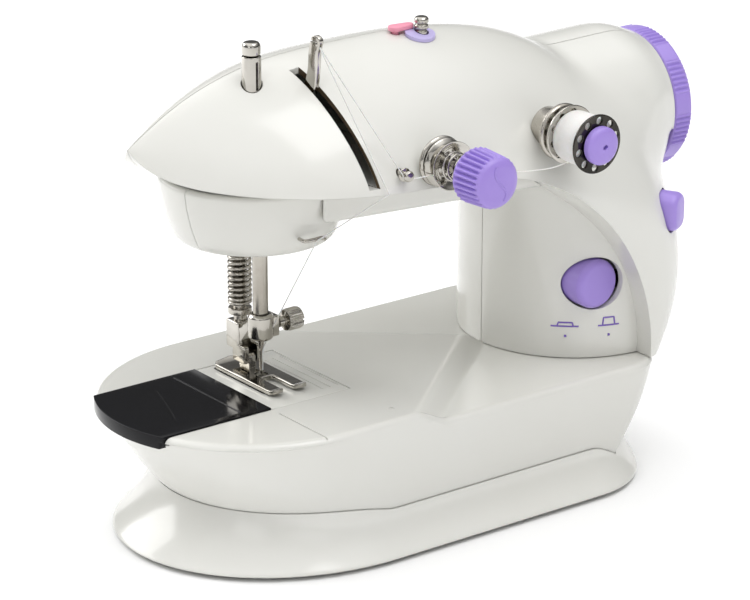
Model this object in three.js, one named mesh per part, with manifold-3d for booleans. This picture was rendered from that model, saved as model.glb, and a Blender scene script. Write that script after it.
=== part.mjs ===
// Portable sewing machine: a small lockstitch machine with a domed arm, a round
// column, a boat-shaped bed and a flared stand. Millimetres, +Z up, +X towards the
// hand wheel, -Y towards the person sewing. The drawing's zero is the middle of the
// stand at floor level; the finished group is moved so that the middle of the whole
// footprint lies on the origin.
import * as THREE from 'three';
import { ParametricGeometry } from 'three/addons/geometries/ParametricGeometry.js';
import { mergeVertices } from 'three/addons/utils/BufferGeometryUtils.js';
import Module from 'manifold-3d';

const wasm = await Module();
wasm.setup();

// ---------------------------------------------------------------- driving dimensions

const FOOTPRINT_SHIFT = { x: -10.75, y: 10.95 }; // drawing zero to the footprint's middle
const GAP = 0.3; // clearance between touching pieces
const WALL = 2.2; // moulded wall thickness

// arm and column: a dome swept around the throat
const SEAM_Y = -2; // plane where the front and rear shells meet
const FRONT_Y = -47.5; // flat front edge of the throat
const THROAT = { z: 44, rx: 80.3, rz: 75 }; // elliptical inner arch of the C
const NOSE = [-94.6, SEAM_Y, 136.2]; // tip of the head
const HEAD_EDGE = [
  // lower front edge of the head, from the tip to the arm
  [-91.5, -8, 131],
  [-80, -20.5, 125.2],
  [-52, -40.5, 122],
  [-18, FRONT_Y, 119.9],
];
const ARCH_DEG = [6, 22, 37, 52, 65, 76, 86, 95]; // stations down the throat's arch
const CREST = [
  // crest line of the dome: angle about the throat's centre, radius
  [-42, 130.4],
  [-34, 127],
  [-22, 120.8],
  [-8, 114.6],
  [6, 113.7],
  [22, 116.6],
  [37, 119.1],
  [52, 118.6],
  [65, 118.9],
  [76, 115.3],
  [86, 104.2],
  [95, 86],
];
const ARM_SECTION = [0.38, 0.89, 0.6]; // handles of the dome's section over the arm
const COLUMN_SECTION = [0.62, 1.0, 0.42]; // and around the column, where it is fuller
const SECTION_BLEND = [6, 9.2]; // stations between which one becomes the other
const COLUMN = { x: 83, r: 38.5, top: 111, root: 3 }; // round column in the throat

// drive
const DRIVE_Y = 4; // plane of the shafts, the needle and the hook
const SHAFT_Z = 114;
const SHAFT_R = 2.4;
const LOWER_SHAFT_Z = 27;
const WHEEL = { r: 24.2, x0: 112.9, x1: 121, bore: 5 };
const HOUSING = { r0: 27.6, r1: 28.2, x0: 58, x1: 103, x2: 112.4, r2: 24.2 };
const NEEDLE_X = -41.5;
const PRESSER_X = -40.5;
const CRANK_R = 10; // half the needle's stroke
const CRANK_RISE = 1; // height of the crank pin above the shaft at rest
const PRESSER_Y = 17;
const LEVER_SLOT = { x: -32.2, lean: 0.184, width: 3.6, top: -11.6 };
const LEVER = { y: -6, z: 134, thick: 1.8, hub: 3.4, pin: 1.5 };

// bed and stand
const DECK_Z = 47.1; // sewing surface
const LOW_DECK_Z = 42.2; // lower level in front of the column
const RAMP = { high: [28, -9], dir: [48.8, 41.3], run: 6 };
const BAY = { y0: -19.5, y1: 24, split: -54, x1: -23 }; // plates over the bobbin
const STAND = { left: -94.3, right: 94.3, front: -54.5, rear: 54.5, foot: 1.2 };
const CUP = { x: -43.6, y: 4, r: 31, bottom: 97.5, top: 119.2 };

// controls on the front
const TENSION = { x: -8.5, z: 127.7, knob: 8.5, disc: 7.8 };
const BOBBIN = { x: 40.2, z: 128.3, y: -50.8, width: 13.6, r: 9.6 };
const SPEED_BUTTON = { x: 65, z: 68.5, r: 8.4, face: 38 };
const POWER_BUTTON = { x: 94, y: -38, z: 88.6, turn: 60, half: [5.2, 6.4], proud: 4.8 };
const JACKS = { y: -22, z: [62, 73], r: 3 };
const JACK_FACE = 103;
const SPOOL_PIN = { x: -54, y: -10.5, z: 152.6 };
const WINDER = { x: 13.5, y: -8.5, z: 155.2 };
const WINDER_STOP = { x: 5.4, y: -5.4, z: 158 };
const GUIDE = { x: -22.6, z: 126 };
const LIFTER = { x: -31, z: 107 };
const FOOT_PLACES = {
  rubber_foot_front_left: [-56, -32],
  rubber_foot_front_right: [64, -32],
  rubber_foot_rear_left: [-56, 32],
  rubber_foot_rear_right: [64, 32],
};

// ---------------------------------------------------------------- materials

const finish = (color, roughness, metalness) => ({ color, roughness, metalness });
const WHITE = finish(0xeef0ec, 0.22, 0);
const PURPLE = finish(0x9a7ed2, 0.35, 0);
const LAVENDER = finish(0xc9bfe6, 0.35, 0);
const PINK = finish(0xf0a4b8, 0.4, 0);
const BLACK = finish(0x14151a, 0.15, 0);
const CHROME = finish(0xc9c9c6, 0.12, 1);
const STEEL = finish(0x9c9a94, 0.35, 1);
const RUBBER = finish(0x2a2a2a, 0.9, 0);
const THREAD = finish(0xf4f3ee, 0.85, 0);
const GREY = finish(0x6f7072, 0.5, 0.2);

// ---------------------------------------------------------------- solid helpers

const radians = THREE.MathUtils.degToRad;

/** Joins shared corners, drops empty faces and turns the faces outward. */
function closed(geometry) {
  const bare = geometry.clone();
  Object.keys(bare.attributes)
    .filter((name) => name !== 'position')
    .forEach((name) => bare.deleteAttribute(name));
  const merged = mergeVertices(bare, 1e-4);
  const point = merged.attributes.position;
  const faces = [];
  let volume = 0;
  const [a, b, c] = [new THREE.Vector3(), new THREE.Vector3(), new THREE.Vector3()];
  for (let i = 0; i < merged.index.count; i += 3) {
    const [p, q, r] = [0, 1, 2].map((k) => merged.index.getX(i + k));
    if (p === q || q === r || r === p) continue;
    a.fromBufferAttribute(point, p);
    b.fromBufferAttribute(point, q);
    c.fromBufferAttribute(point, r);
    volume += a.dot(b.cross(c));
    faces.push([p, q, r]);
  }
  const outward = volume > 0 ? faces : faces.map(([p, q, r]) => [p, r, q]);
  merged.setIndex(outward.flat());
  return merged;
}

function solid(geometry) {
  const merged = closed(geometry);
  const mesh = new wasm.Mesh({
    numProp: 3,
    vertProperties: new Float32Array(merged.attributes.position.array),
    triVerts: new Uint32Array(merged.index.array),
  });
  return new wasm.Manifold(mesh);
}

function surfaceOf(body) {
  const mesh = body.getMesh();
  const geometry = new THREE.BufferGeometry();
  geometry.setAttribute('position', new THREE.BufferAttribute(mesh.vertProperties, 3));
  geometry.setIndex(new THREE.BufferAttribute(mesh.triVerts, 1));
  return geometry;
}

/** A box between two corners. */
function block([x0, y0, z0], [x1, y1, z1]) {
  const box = new THREE.BoxGeometry(x1 - x0, y1 - y0, z1 - z0);
  return box.translate((x0 + x1) / 2, (y0 + y1) / 2, (z0 + z1) / 2);
}

/** Turns a shape made along +Y so that it runs along the given direction. */
const TURN = {
  z: (shape) => shape.rotateX(Math.PI / 2),
  x: (shape) => shape.rotateZ(-Math.PI / 2),
  y: (shape) => shape,
  '-y': (shape) => shape.rotateX(Math.PI),
};

/** A turned piece: profile of [radius, height] pairs, closed onto the axis. */
function turned(profile, axis, [x, y, z], segments = 20) {
  const outline = [[0, profile[0][1]], ...profile, [0, profile.at(-1)[1]]];
  const points = outline.map(([r, h]) => new THREE.Vector2(r, h));
  return TURN[axis](new THREE.LatheGeometry(points, segments)).translate(x, y, z);
}

/** A ring or tube: profile closed on itself, clear of the axis. */
function ring(profile, axis, [x, y, z], segments = 20) {
  const points = [...profile, profile[0]].map(([r, h]) => new THREE.Vector2(r, h));
  return TURN[axis](new THREE.LatheGeometry(points, segments)).translate(x, y, z);
}

function rod(radius, from, to, axis, place, segments = 16) {
  const profile = [
    [radius, from],
    [radius, to],
  ];
  return turned(profile, axis, place, segments);
}

function tube(inner, outer, from, to, axis, place, segments = 20) {
  const profile = [
    [inner, from],
    [outer, from],
    [outer, to],
    [inner, to],
  ];
  return ring(profile, axis, place, segments);
}

/** A flat plate: outline of [x, y] pairs between two heights. */
function plate(outline, z0, z1) {
  const shape = new THREE.Shape(outline.map(([x, y]) => new THREE.Vector2(x, y)));
  const options = { depth: z1 - z0, bevelEnabled: false };
  return new THREE.ExtrudeGeometry(shape, options).translate(0, 0, z0);
}

/** A round wire along a curve. */
function wire(points, radius, steps = 24, sides = 8) {
  const path = new THREE.CatmullRomCurve3(points.map((p) => new THREE.Vector3(...p)));
  const circle = new THREE.Shape().absarc(0, 0, radius, 0, 2 * Math.PI);
  const options = { steps, extrudePath: path, curveSegments: sides };
  return new THREE.ExtrudeGeometry(circle, options);
}

/** A closed skin through rings of equal length, capped at both ends. */
function loft(rings) {
  const middle = (loop) =>
    loop.reduce((sum, p) => sum.add(p), new THREE.Vector3()).divideScalar(loop.length);
  const ends = [middle(rings[0]), middle(rings.at(-1))];
  const around = rings[0].length;
  const stacks = rings.length + 1;
  const pointAt = (u, v, target) => {
    const row = Math.round(v * stacks);
    if (row === 0) return target.copy(ends[0]);
    if (row === stacks) return target.copy(ends[1]);
    return target.copy(rings[row - 1][Math.round(u * around) % around]);
  };
  return new ParametricGeometry(pointAt, around, stacks);
}

// ---------------------------------------------------------------- smooth curves

/** Natural cubic spline through values at whole-number stations. */
function spline(values) {
  const last = values.length - 1;
  const bend = new Array(last + 1).fill(0);
  const slack = new Array(last + 1).fill(0);
  for (let i = 1; i < last; i++) {
    const pivot = 4 - slack[i - 1];
    slack[i] = 1 / pivot;
    bend[i] = (6 * (values[i + 1] - 2 * values[i] + values[i - 1]) - bend[i - 1]) / pivot;
  }
  for (let i = last - 1; i > 0; i--) bend[i] -= slack[i] * bend[i + 1];
  return (t) => {
    const i = Math.min(last - 1, Math.floor(t));
    const f = t - i;
    const g = 1 - f;
    const straight = g * values[i] + f * values[i + 1];
    return straight + ((g ** 3 - g) * bend[i] + (f ** 3 - f) * bend[i + 1]) / 6;
  };
}

function smoothstep(t, from, to) {
  const s = THREE.MathUtils.clamp((t - from) / (to - from), 0, 1);
  return s * s * (3 - 2 * s);
}

const mix = (from, to, share) => from + (to - from) * share;

// ---------------------------------------------------------------- arm and column

const archPoint = (deg) => [
  THROAT.rx * Math.sin(radians(deg)),
  FRONT_Y,
  THROAT.z + THROAT.rz * Math.cos(radians(deg)),
];
const crestPoint = ([deg, radius]) => [
  radius * Math.sin(radians(deg)),
  THROAT.z + radius * Math.cos(radians(deg)),
];
const edgeKnots = [NOSE, ...HEAD_EDGE, ...ARCH_DEG.map(archPoint)];
const crestKnots = [[NOSE[0], NOSE[2]], ...CREST.map(crestPoint)];
const edgeCurve = [0, 1, 2].map((axis) => spline(edgeKnots.map((p) => p[axis])));
const crestCurve = [0, 1].map((axis) => spline(crestKnots.map((p) => p[axis])));
const LAST_STATION = crestKnots.length - 1;

/** Dome section between the crest (v = 0) and the front edge (v = 1). */
function domePoint(t, v, side, grow) {
  const share = smoothstep(t, ...SECTION_BLEND);
  const [h1, h2, h3] = ARM_SECTION.map((h, i) => mix(h, COLUMN_SECTION[i], share));
  const w = 1 - v;
  const across = 3 * w * w * v * h1 + 3 * w * v * v * h2 + v ** 3;
  const down = 3 * w * v * v * h3 + v ** 3;
  const crest = crestCurve.map((curve) => curve(t));
  const edge = edgeCurve.map((curve) => curve(t));
  const span = Math.hypot(crest[0] - edge[0], crest[1] - edge[2]) || 1;
  const out = [(crest[0] - edge[0]) / span, (crest[1] - edge[2]) / span];
  const crestX = crest[0] + grow * out[0];
  const crestZ = crest[1] + grow * out[1];
  const edgeX = edge[0] - grow * out[0];
  const edgeZ = edge[2] - grow * out[1];
  const depth = SEAM_Y - edge[1] + grow;
  return new THREE.Vector3(
    mix(crestX, edgeX, down),
    SEAM_Y - side * depth * across,
    mix(crestZ, edgeZ, down),
  );
}

const DOME_FINE = { stations: 30, steps: 8 };
const DOME_COARSE = { stations: 30, steps: 6 };

/** The whole dome as one solid; grow < 0 gives its hollow. */
function dome(grow, from, { stations, steps }) {
  const rings = [];
  for (let i = 0; i <= stations; i++) {
    const t = mix(from, LAST_STATION, i / stations);
    const loop = [];
    for (let k = steps; k >= 0; k--) loop.push(domePoint(t, k / steps, 1, grow));
    for (let k = 1; k <= steps; k++) loop.push(domePoint(t, k / steps, -1, grow));
    rings.push(loop);
  }
  return solid(loft(rings));
}

const columnPlace = [COLUMN.x, SEAM_Y, 0];
const columnRod = (radius, from, to) =>
  solid(rod(radius, from, to, 'z', columnPlace, 56));

/** Space to one side of the seam plane. */
const frontHalf = solid(block([-200, -200, -50], [200, SEAM_Y - GAP / 2, 300]));
const rearHalf = solid(block([-200, SEAM_Y + GAP / 2, -50], [200, 200, 300]));
const aboveDeck = solid(block([-200, -200, LOW_DECK_Z + GAP], [200, 200, 300]));

const cupSpace = (grow) =>
  solid(rod(CUP.r + grow, CUP.bottom - 5, CUP.top + GAP, 'z', [CUP.x, CUP.y, 0], 48));

/** Thin slab in which the take-up lever swings, leaning with the head. */
function leverSlab(width, yFrom, yTo, zFrom, zTo) {
  const { x, lean } = LEVER_SLOT;
  const xAt = (y) => x - lean * (y - FRONT_Y);
  const half = width / 2;
  const outline = [
    [xAt(yFrom) - half, yFrom],
    [xAt(yFrom) + half, yFrom],
    [xAt(yTo) + half, yTo],
    [xAt(yTo) - half, yTo],
  ];
  return plate(outline, zFrom, zTo);
}

/** The left half of a round column; its right half and its root lie inside the dome. */
function halfColumn(radius, from, to) {
  const left = block([COLUMN.x - 60, SEAM_Y - 60, from - 1], [COLUMN.x + 1, SEAM_Y + 60, to + 1]);
  const [rx, rz] = [THROAT.rx + COLUMN.root, THROAT.rz + COLUMN.root];
  const arch = new THREE.Shape().absellipse(0, THROAT.z, rx, rz, 0, 2 * Math.PI);
  const options = { depth: 120, bevelEnabled: false, curveSegments: 24 };
  const throat = new THREE.ExtrudeGeometry(arch, options).translate(0, 0, -60);
  return columnRod(radius, from, to)
    .intersect(solid(left))
    .intersect(solid(throat.rotateX(Math.PI / 2)));
}

function housingSolid(inset, reach) {
  const { r0, r1, r2, x0, x1, x2 } = HOUSING;
  const outline = [
    [r0 - inset, x0],
    [r1 - inset, x1 - 5],
    [r1 - inset - 0.5, x1],
    [r1 - inset - 1.8, x1 + 4],
    [r2 - inset + 0.7, x2 - reach - 2],
    [r2 - inset, x2 - reach],
  ];
  return solid(turned(outline, 'x', [0, DRIVE_Y, SHAFT_Z], 44));
}

function shellBlank() {
  const skin = dome(0, 0, DOME_FINE)
    .add(halfColumn(COLUMN.r, LOW_DECK_Z, COLUMN.top))
    .add(housingSolid(0, 0));
  const armFloor = block([-22, -24, 95], [50, 20, 121.5]);
  const headFloor = rod(27, 110, 130, 'z', [CUP.x, CUP.y, 0], 36);
  const shaftHole = rod(SHAFT_R + GAP, 100, 120, 'x', [0, DRIVE_Y, SHAFT_Z], 24);
  return skin
    .subtract(dome(-WALL, 1.1, DOME_COARSE))
    .subtract(halfColumn(COLUMN.r - WALL, LOW_DECK_Z - 5, COLUMN.top - WALL))
    .subtract(housingSolid(WALL, WALL))
    .subtract(solid(armFloor))
    .subtract(solid(headFloor))
    .subtract(solid(shaftHole))
    .intersect(aboveDeck);
}

function frontShell(blank) {
  const { x, z } = TENSION;
  const holes = [
    leverSlab(LEVER_SLOT.width, FRONT_Y - 5, LEVER_SLOT.top, 122.6, 170),
    rod(2.6, 20, 60, '-y', [x, 0, z], 16),
    rod(2.9, 20, 60, '-y', [BOBBIN.x, 0, BOBBIN.z], 16),
    rod(1.3, 20, 60, '-y', [GUIDE.x, 0, GUIDE.z], 12),
    rod(SPEED_BUTTON.r + 0.7, 10, 60, '-y', [SPEED_BUTTON.x, 0, SPEED_BUTTON.z], 32),
    rod(3.4, 140, 170, 'z', [SPOOL_PIN.x, SPOOL_PIN.y, 0], 20),
    rod(2.5, 140, 170, 'z', [WINDER.x, WINDER.y, 0], 20),
    rod(1.5, 140, 170, 'z', [WINDER_STOP.x, WINDER_STOP.y, 0], 12),
    powerButton(0.5, -20, 20),
    ...JACKS.z.map((height) => rod(JACKS.r + GAP, 80, 130, 'x', [0, JACKS.y, height], 16)),
  ];
  return holes.reduce((shell, hole) => shell.subtract(solid(hole)), blank.intersect(frontHalf));
}

function rearShell(blank) {
  const vent = block([70, 20, 52], [96, 60, 54]);
  const vents = [0, 1, 2, 3].map((i) => vent.clone().translate(0, 0, 5 * i));
  return vents.reduce((shell, slit) => shell.subtract(solid(slit)), blank.intersect(rearHalf));
}

/** Long cover under the arm that hides the main shaft. */
function armBeam() {
  const left = { x: -40, z: 107.6 };
  const right = { x: 52, z: 102.4 };
  const trough = (inset, raise) => {
    const outline = [
      [left.x - inset, left.z + raise],
      [right.x + inset, right.z + raise],
      [right.x + inset, 125],
      [left.x - inset, 125],
    ];
    const half = 25.5 - inset;
    const box = plate(outline, -half, half).rotateX(Math.PI / 2);
    return solid(box.translate(0, SEAM_Y, 0));
  };
  return trough(0, 0)
    .subtract(trough(WALL, WALL).add(trough(WALL, 12)))
    .subtract(cupSpace(GAP))
    .subtract(dome(GAP, 0, DOME_FINE))
    .subtract(columnRod(COLUMN.r + GAP, LOW_DECK_Z, COLUMN.top + 3));
}

// ---------------------------------------------------------------- head cup

function cupHalf(half) {
  const { x, y, r, bottom, top } = CUP;
  const place = [x, y, 0];
  const outside = [
    [r - 8.5, bottom],
    [r - 6, bottom + 0.6],
    [r - 4.6, bottom + 2.4],
    [r - 2.2, bottom + 9],
    [r - 0.6, bottom + 16],
    [r, top],
  ];
  const inside = [
    [r - 8.2, bottom + 2],
    [r - 6.8, bottom + 3],
    [r - 4.2, bottom + 9.6],
    [r - 2.2, top + 1],
  ];
  const shaftPass = block([x, DRIVE_Y - 3.5, SHAFT_Z - 3.5], [x + 40, DRIVE_Y + 3.5, top + 1]);
  const needlePass = rod(3.1, bottom - 1, bottom + 4, 'z', [NEEDLE_X, DRIVE_Y, 0]);
  const presserPass = rod(4.6, bottom - 1, bottom + 4, 'z', [PRESSER_X, PRESSER_Y, 0]);
  const lifterPass = rod(3.4, 20, 60, 'y', [LIFTER.x, 0, LIFTER.z]);
  return solid(turned(outside, 'z', place, 52))
    .subtract(solid(turned(inside, 'z', place, 36)))
    .subtract(solid(shaftPass))
    .subtract(solid(needlePass))
    .subtract(solid(presserPass))
    .subtract(solid(lifterPass))
    .subtract(dome(GAP, 0, DOME_FINE))
    .intersect(half);
}

// ---------------------------------------------------------------- bed and stand

/** Boat-like outline: round bow on the left, blunter stern on the right. */
function boat({ left, bow, right, stern, front, rear, blunt }, points = 40) {
  const outline = [];
  for (let i = 0; i < points; i++) {
    const angle = (2 * Math.PI * (i + 0.5)) / points;
    const [c, s] = [Math.cos(angle), Math.sin(angle)];
    const power = c > 0 ? 2 / blunt : 1;
    const x = c > 0 ? stern + (right - stern) * c ** power : bow + (bow - left) * c;
    const y = (s > 0 ? rear : -front) * Math.sign(s) * Math.abs(s) ** power;
    outline.push([x, y]);
  }
  return outline;
}

/** Hull section at a height: the bow rakes in towards the stand. */
function hullAt(z, inset) {
  const rake = THREE.MathUtils.clamp((DECK_Z - z) / (DECK_Z - 10), 0, 1);
  return boat({
    left: -98.9 + 24.6 * rake + 12 * rake ** 8 + inset,
    bow: -45 + 24 * rake,
    right: 91.5 - 24 * rake ** 1.9 - inset,
    stern: 68,
    front: -50.6 + 1.4 * rake + 4.5 * rake ** 3 + inset,
    rear: 49.8 - 1.4 * rake - 4.5 * rake ** 3 - inset,
    blunt: 3,
  });
}

function hull(inset, from, to, levels) {
  const rings = [];
  for (let i = 0; i <= levels; i++) {
    const z = mix(from, to, i / levels);
    rings.push(hullAt(z, inset).map(([x, y]) => new THREE.Vector3(x, y, z)));
  }
  return solid(loft(rings));
}

/** Everything above the low deck outside one leg of the V-shaped step. */
function rampCut(side, lower) {
  const [dx, dy] = RAMP.dir;
  const length = Math.hypot(dx, dy);
  const section = [
    [0, DECK_Z - lower],
    [RAMP.run, LOW_DECK_Z - lower],
    [250, LOW_DECK_Z - lower],
    [250, DECK_Z + 30],
    [0, DECK_Z + 30],
  ];
  const slab = plate(section, -180, 180).rotateX(Math.PI / 2);
  const turn = Math.atan2(-dx / length, dy / length);
  slab.rotateZ(turn);
  slab.translate(RAMP.high[0], RAMP.high[1] - SEAM_Y, 0);
  if (side < 0) slab.scale(1, -1, 1);
  return solid(slab.translate(0, SEAM_Y, 0));
}

const deckCut = (lower) => rampCut(1, lower).add(rampCut(-1, lower));

/** Bed with a ledge under its two plates and a brace where they meet. */
function bedBody() {
  const { y0, y1, split, x1 } = BAY;
  const [lip, seat] = [1.6, DECK_Z - 2.8];
  const recess = block([-120, y0, seat], [x1, y1, DECK_Z + 5]);
  const bay = block([-76, y0 + lip, 30], [x1 - lip, y1 - lip, DECK_Z]);
  const ledge = block([-120, y0 - lip, seat - 2.2], [x1 + lip, y1 + lip, DECK_Z - 1]);
  const brace = block([split - 1, y0, seat - 2], [split + 1, y1, seat]);
  const wiring = rod(19, 30, 60, 'z', [COLUMN.x - 17, DRIVE_Y, 0], 32);
  return hull(0, 10, DECK_Z, 6)
    .subtract(deckCut(0))
    .subtract(hull(WALL, 9, DECK_Z - WALL, 4).subtract(deckCut(WALL)))
    .add(solid(ledge).intersect(hull(WALL / 2, 10, DECK_Z, 4)))
    .subtract(solid(recess))
    .subtract(solid(bay))
    .subtract(solid(wiring))
    .add(solid(brace));
}

function slidePlate() {
  const { y0, y1, split } = BAY;
  const outline = hullAt(DECK_Z, 0);
  const lip = hullAt(DECK_Z, -0.6);
  const strip = block([-120, y0 + GAP, 0], [split - GAP / 2, y1 - GAP, 100]);
  const bow = block([-120, y0 + GAP, 0], [-80, y1 - GAP, 100]);
  const rim = solid(plate(lip, DECK_Z - 3.6, DECK_Z + 0.5))
    .subtract(hull(-GAP, 20, DECK_Z - 2.4, 4))
    .intersect(solid(bow));
  return solid(plate(outline, DECK_Z - 2.4, DECK_Z + 0.5))
    .intersect(solid(strip))
    .add(rim);
}

function needlePlate() {
  const { y0, y1, split, x1 } = BAY;
  const low = [split + GAP / 2, y0 + GAP, DECK_Z - 2.5];
  const body = solid(block(low, [x1 - GAP, y1 - GAP, DECK_Z]));
  const feedSlots = [-5, 5].map((dx) =>
    block([NEEDLE_X + dx - 1.8, DRIVE_Y - 12, 40], [NEEDLE_X + dx + 1.8, DRIVE_Y + 18, 50]),
  );
  const hole = rod(1.4, 40, 50, 'z', [NEEDLE_X, DRIVE_Y, 0], 16);
  return [...feedSlots, hole].reduce((sum, cut) => sum.subtract(solid(cut)), body);
}

/** Stand section at a height: the sides draw in sooner than the ends. */
function standAt(z, inset) {
  const rise = (height) => 1 - (1 - Math.min(1, (z - STAND.foot) / height)) ** 1.9;
  const ends = rise(24);
  const sides = rise(14);
  return boat({
    left: STAND.left + 17 * ends + inset,
    bow: -30,
    right: STAND.right - 6 * ends - inset,
    stern: 55,
    front: STAND.front + 7.6 * sides + inset,
    rear: STAND.rear - 7.6 * sides - inset,
    blunt: 2.1,
  });
}

function stand() {
  const skirt = (inset, from, to, levels) => {
    const rings = [];
    for (let i = 0; i <= levels; i++) {
      const z = mix(from, to, i / levels);
      const loop = standAt(Math.max(z, STAND.foot), inset);
      rings.push(loop.map(([x, y]) => new THREE.Vector3(x, y, z)));
    }
    return solid(loft(rings));
  };
  return skirt(0, STAND.foot, 38, 8)
    .subtract(skirt(2.4, 0, 39, 5))
    .subtract(hull(-GAP, 10 - GAP, DECK_Z, 6));
}

const BATTERY_BAY = { x0: -34, x1: 34, y0: -26, y1: 26 };

function bottomPlate() {
  const outline = standAt(5, 3.3);
  const { x0, x1, y0, y1 } = BATTERY_BAY;
  const opening = block([x0 + 4, y0 + 4, 0], [x1 - 4, y1 - 4, 10]);
  const posts = Object.values(FOOT_PLACES).map(([x, y]) => rod(4, 1.5, 5, 'z', [x, y, 0], 16));
  const panel = solid(plate(outline, 3.6, 5.4)).subtract(solid(opening));
  return posts.reduce((sum, post) => sum.add(solid(post)), panel);
}

/** Flat door that slides along under the bottom plate. */
function batteryDoor() {
  const { x0, x1, y0, y1 } = BATTERY_BAY;
  const panel = solid(block([x0, y0, 1.5], [x1, y1, 3.3]));
  const grips = [0, 3, 6].map((dx) => block([x0 + 4 + dx, -8, 1], [x0 + 5.4 + dx, 8, 2.2]));
  return grips.reduce((sum, grip) => sum.subtract(solid(grip)), panel);
}

function rubberFoot(x, y) {
  return rod(6, 0, STAND.foot, 'z', [x, y, 0], 20);
}

// ---------------------------------------------------------------- wheel, shafts, belts

const onShaft = [0, DRIVE_Y, SHAFT_Z];
const onLowerShaft = [0, DRIVE_Y, LOWER_SHAFT_Z];
const MOTOR = { y: 12, z: 72, r: 13, x0: 62, x1: 92.5, pulley: 4.5 };
const DRIVE_BELT = { x: 96.5, r: 15.5, width: 4.4, thick: 1.4 };
const TIMING_BELT = { x: 55, r: 8, width: 5, thick: 1.2 };

function handWheel() {
  const { r, x0, x1, bore } = WHEEL;
  const profile = [
    [bore, x0],
    [r, x0],
    [r, x1 - 2.2],
    [r - 0.7, x1 - 0.7],
    [r - 2.4, x1],
    [r - 4.5, x1],
    [r - 6, x1 - 2],
    [bore, x1 - 2],
  ];
  const hub = rod(bore + 0.5, x0, x1 - 2, 'x', onShaft);
  const axle = rod(SHAFT_R + 0.1, x0 - 1, x1 - 4, 'x', onShaft);
  return solid(ring(profile, 'x', onShaft, 40)).add(solid(hub)).subtract(solid(axle));
}

/** Heights and radii of a pulley with a shallow groove, for a shaft's profile. */
function pulleyProfile({ x, r, width }) {
  const half = width / 2;
  return [
    [SHAFT_R, x - half],
    [r, x - half],
    [r - 0.8, x],
    [r, x + half],
    [SHAFT_R, x + half],
  ];
}

/** Main shaft with the two pulleys pressed onto it. */
function mainShaft() {
  const profile = [
    [SHAFT_R, -35.2],
    ...pulleyProfile(TIMING_BELT),
    ...pulleyProfile(DRIVE_BELT),
    [SHAFT_R, WHEEL.x1 - 4.3],
  ];
  return turned(profile, 'x', onShaft, 24);
}

function lowerShaft() {
  const profile = [[SHAFT_R, -45.4], ...pulleyProfile(TIMING_BELT), [SHAFT_R, 62]];
  return turned(profile, 'x', onLowerShaft, 24);
}

/** Flat loop of belt around two wheels whose axes run along X. */
function belt({ x, width, thick }, [y0, z0, r0], [y1, z1, r1]) {
  const lean = Math.atan2(z1 - z0, y1 - y0);
  const wrap = Math.acos((r0 - r1) / Math.hypot(y1 - y0, z1 - z0));
  const loop = (grow, half) => {
    const shape = new THREE.Shape();
    shape.absarc(y0, z0, r0 + grow, lean + wrap, lean + 2 * Math.PI - wrap);
    shape.absarc(y1, z1, r1 + grow, lean - wrap, lean + wrap);
    const slab = new THREE.ExtrudeGeometry(shape, {
      depth: 2 * half,
      bevelEnabled: false,
      curveSegments: 8,
    });
    slab.translate(0, 0, -half);
    return solid(slab);
  };
  const flat = surfaceOf(loop(GAP + thick, width / 2).subtract(loop(GAP, width)));
  return flat.rotateX(Math.PI / 2).rotateZ(Math.PI / 2).translate(x, 0, 0);
}

/** Disc on the shaft's end with the pin that drives the needle bar. */
function crankDisc() {
  const disc = tube(SHAFT_R + 0.1, 12.4, -36.6, -33.4, 'x', onShaft, 28);
  const reach = Math.sqrt(CRANK_R ** 2 - CRANK_RISE ** 2);
  const pin = rod(1.3, -37.8, -36, 'x', [0, DRIVE_Y + reach, SHAFT_Z + CRANK_RISE], 12);
  const cap = rod(SHAFT_R + 1, -36.6, -35.4, 'x', onShaft, 16);
  return solid(disc).add(solid(pin)).add(solid(cap));
}

// ---------------------------------------------------------------- hook and feed

const HOOK = { r: 12.4, x0: -58, x1: -44 };

function rotaryHook() {
  const { r, x0, x1 } = HOOK;
  const profile = [
    [r - 1.2, x0],
    [r, x0],
    [r, x1],
    [SHAFT_R + 0.1, x1],
    [SHAFT_R + 0.1, x1 - 1.6],
    [r - 1.2, x1 - 1.6],
  ];
  const window = block([x0 - 1, DRIVE_Y - 20, 20], [x0 + 6, DRIVE_Y - 4, 34]);
  return solid(ring(profile, 'x', onLowerShaft, 28)).subtract(solid(window));
}

function bobbinCase() {
  const { r, x0, x1 } = HOOK;
  const profile = [
    [r - 2, x0 - 1],
    [r - 1.5, x0 - 1],
    [r - 1.5, x1 - 2],
    [r - 2, x1 - 2],
  ];
  return ring(profile, 'x', onLowerShaft, 28);
}

function feedDog() {
  const row = (x) => block([x - 1.3, DRIVE_Y - 7, 41], [x + 1.3, DRIVE_Y + 15, DECK_Z + 0.1]);
  const bridge = block([NEEDLE_X - 6.3, DRIVE_Y + 9, 41], [NEEDLE_X + 6.3, DRIVE_Y + 15, 43.4]);
  const gap = (i) => {
    const y = DRIVE_Y - 5.6 + 2.1 * i;
    return block([NEEDLE_X - 9, y, DECK_Z - 0.7], [NEEDLE_X + 9, y + 0.8, DECK_Z + 1]);
  };
  const body = solid(row(NEEDLE_X - 5)).add(solid(row(NEEDLE_X + 5))).add(solid(bridge));
  return Array.from({ length: 10 }, (_, i) => solid(gap(i))).reduce((a, b) => a.subtract(b), body);
}

// ---------------------------------------------------------------- needle and presser

const onNeedle = [NEEDLE_X, DRIVE_Y, 0];
const onPresser = [PRESSER_X, PRESSER_Y, 0];
const FOOT_PIVOT = { y: 12, z: 52.4 };

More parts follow.
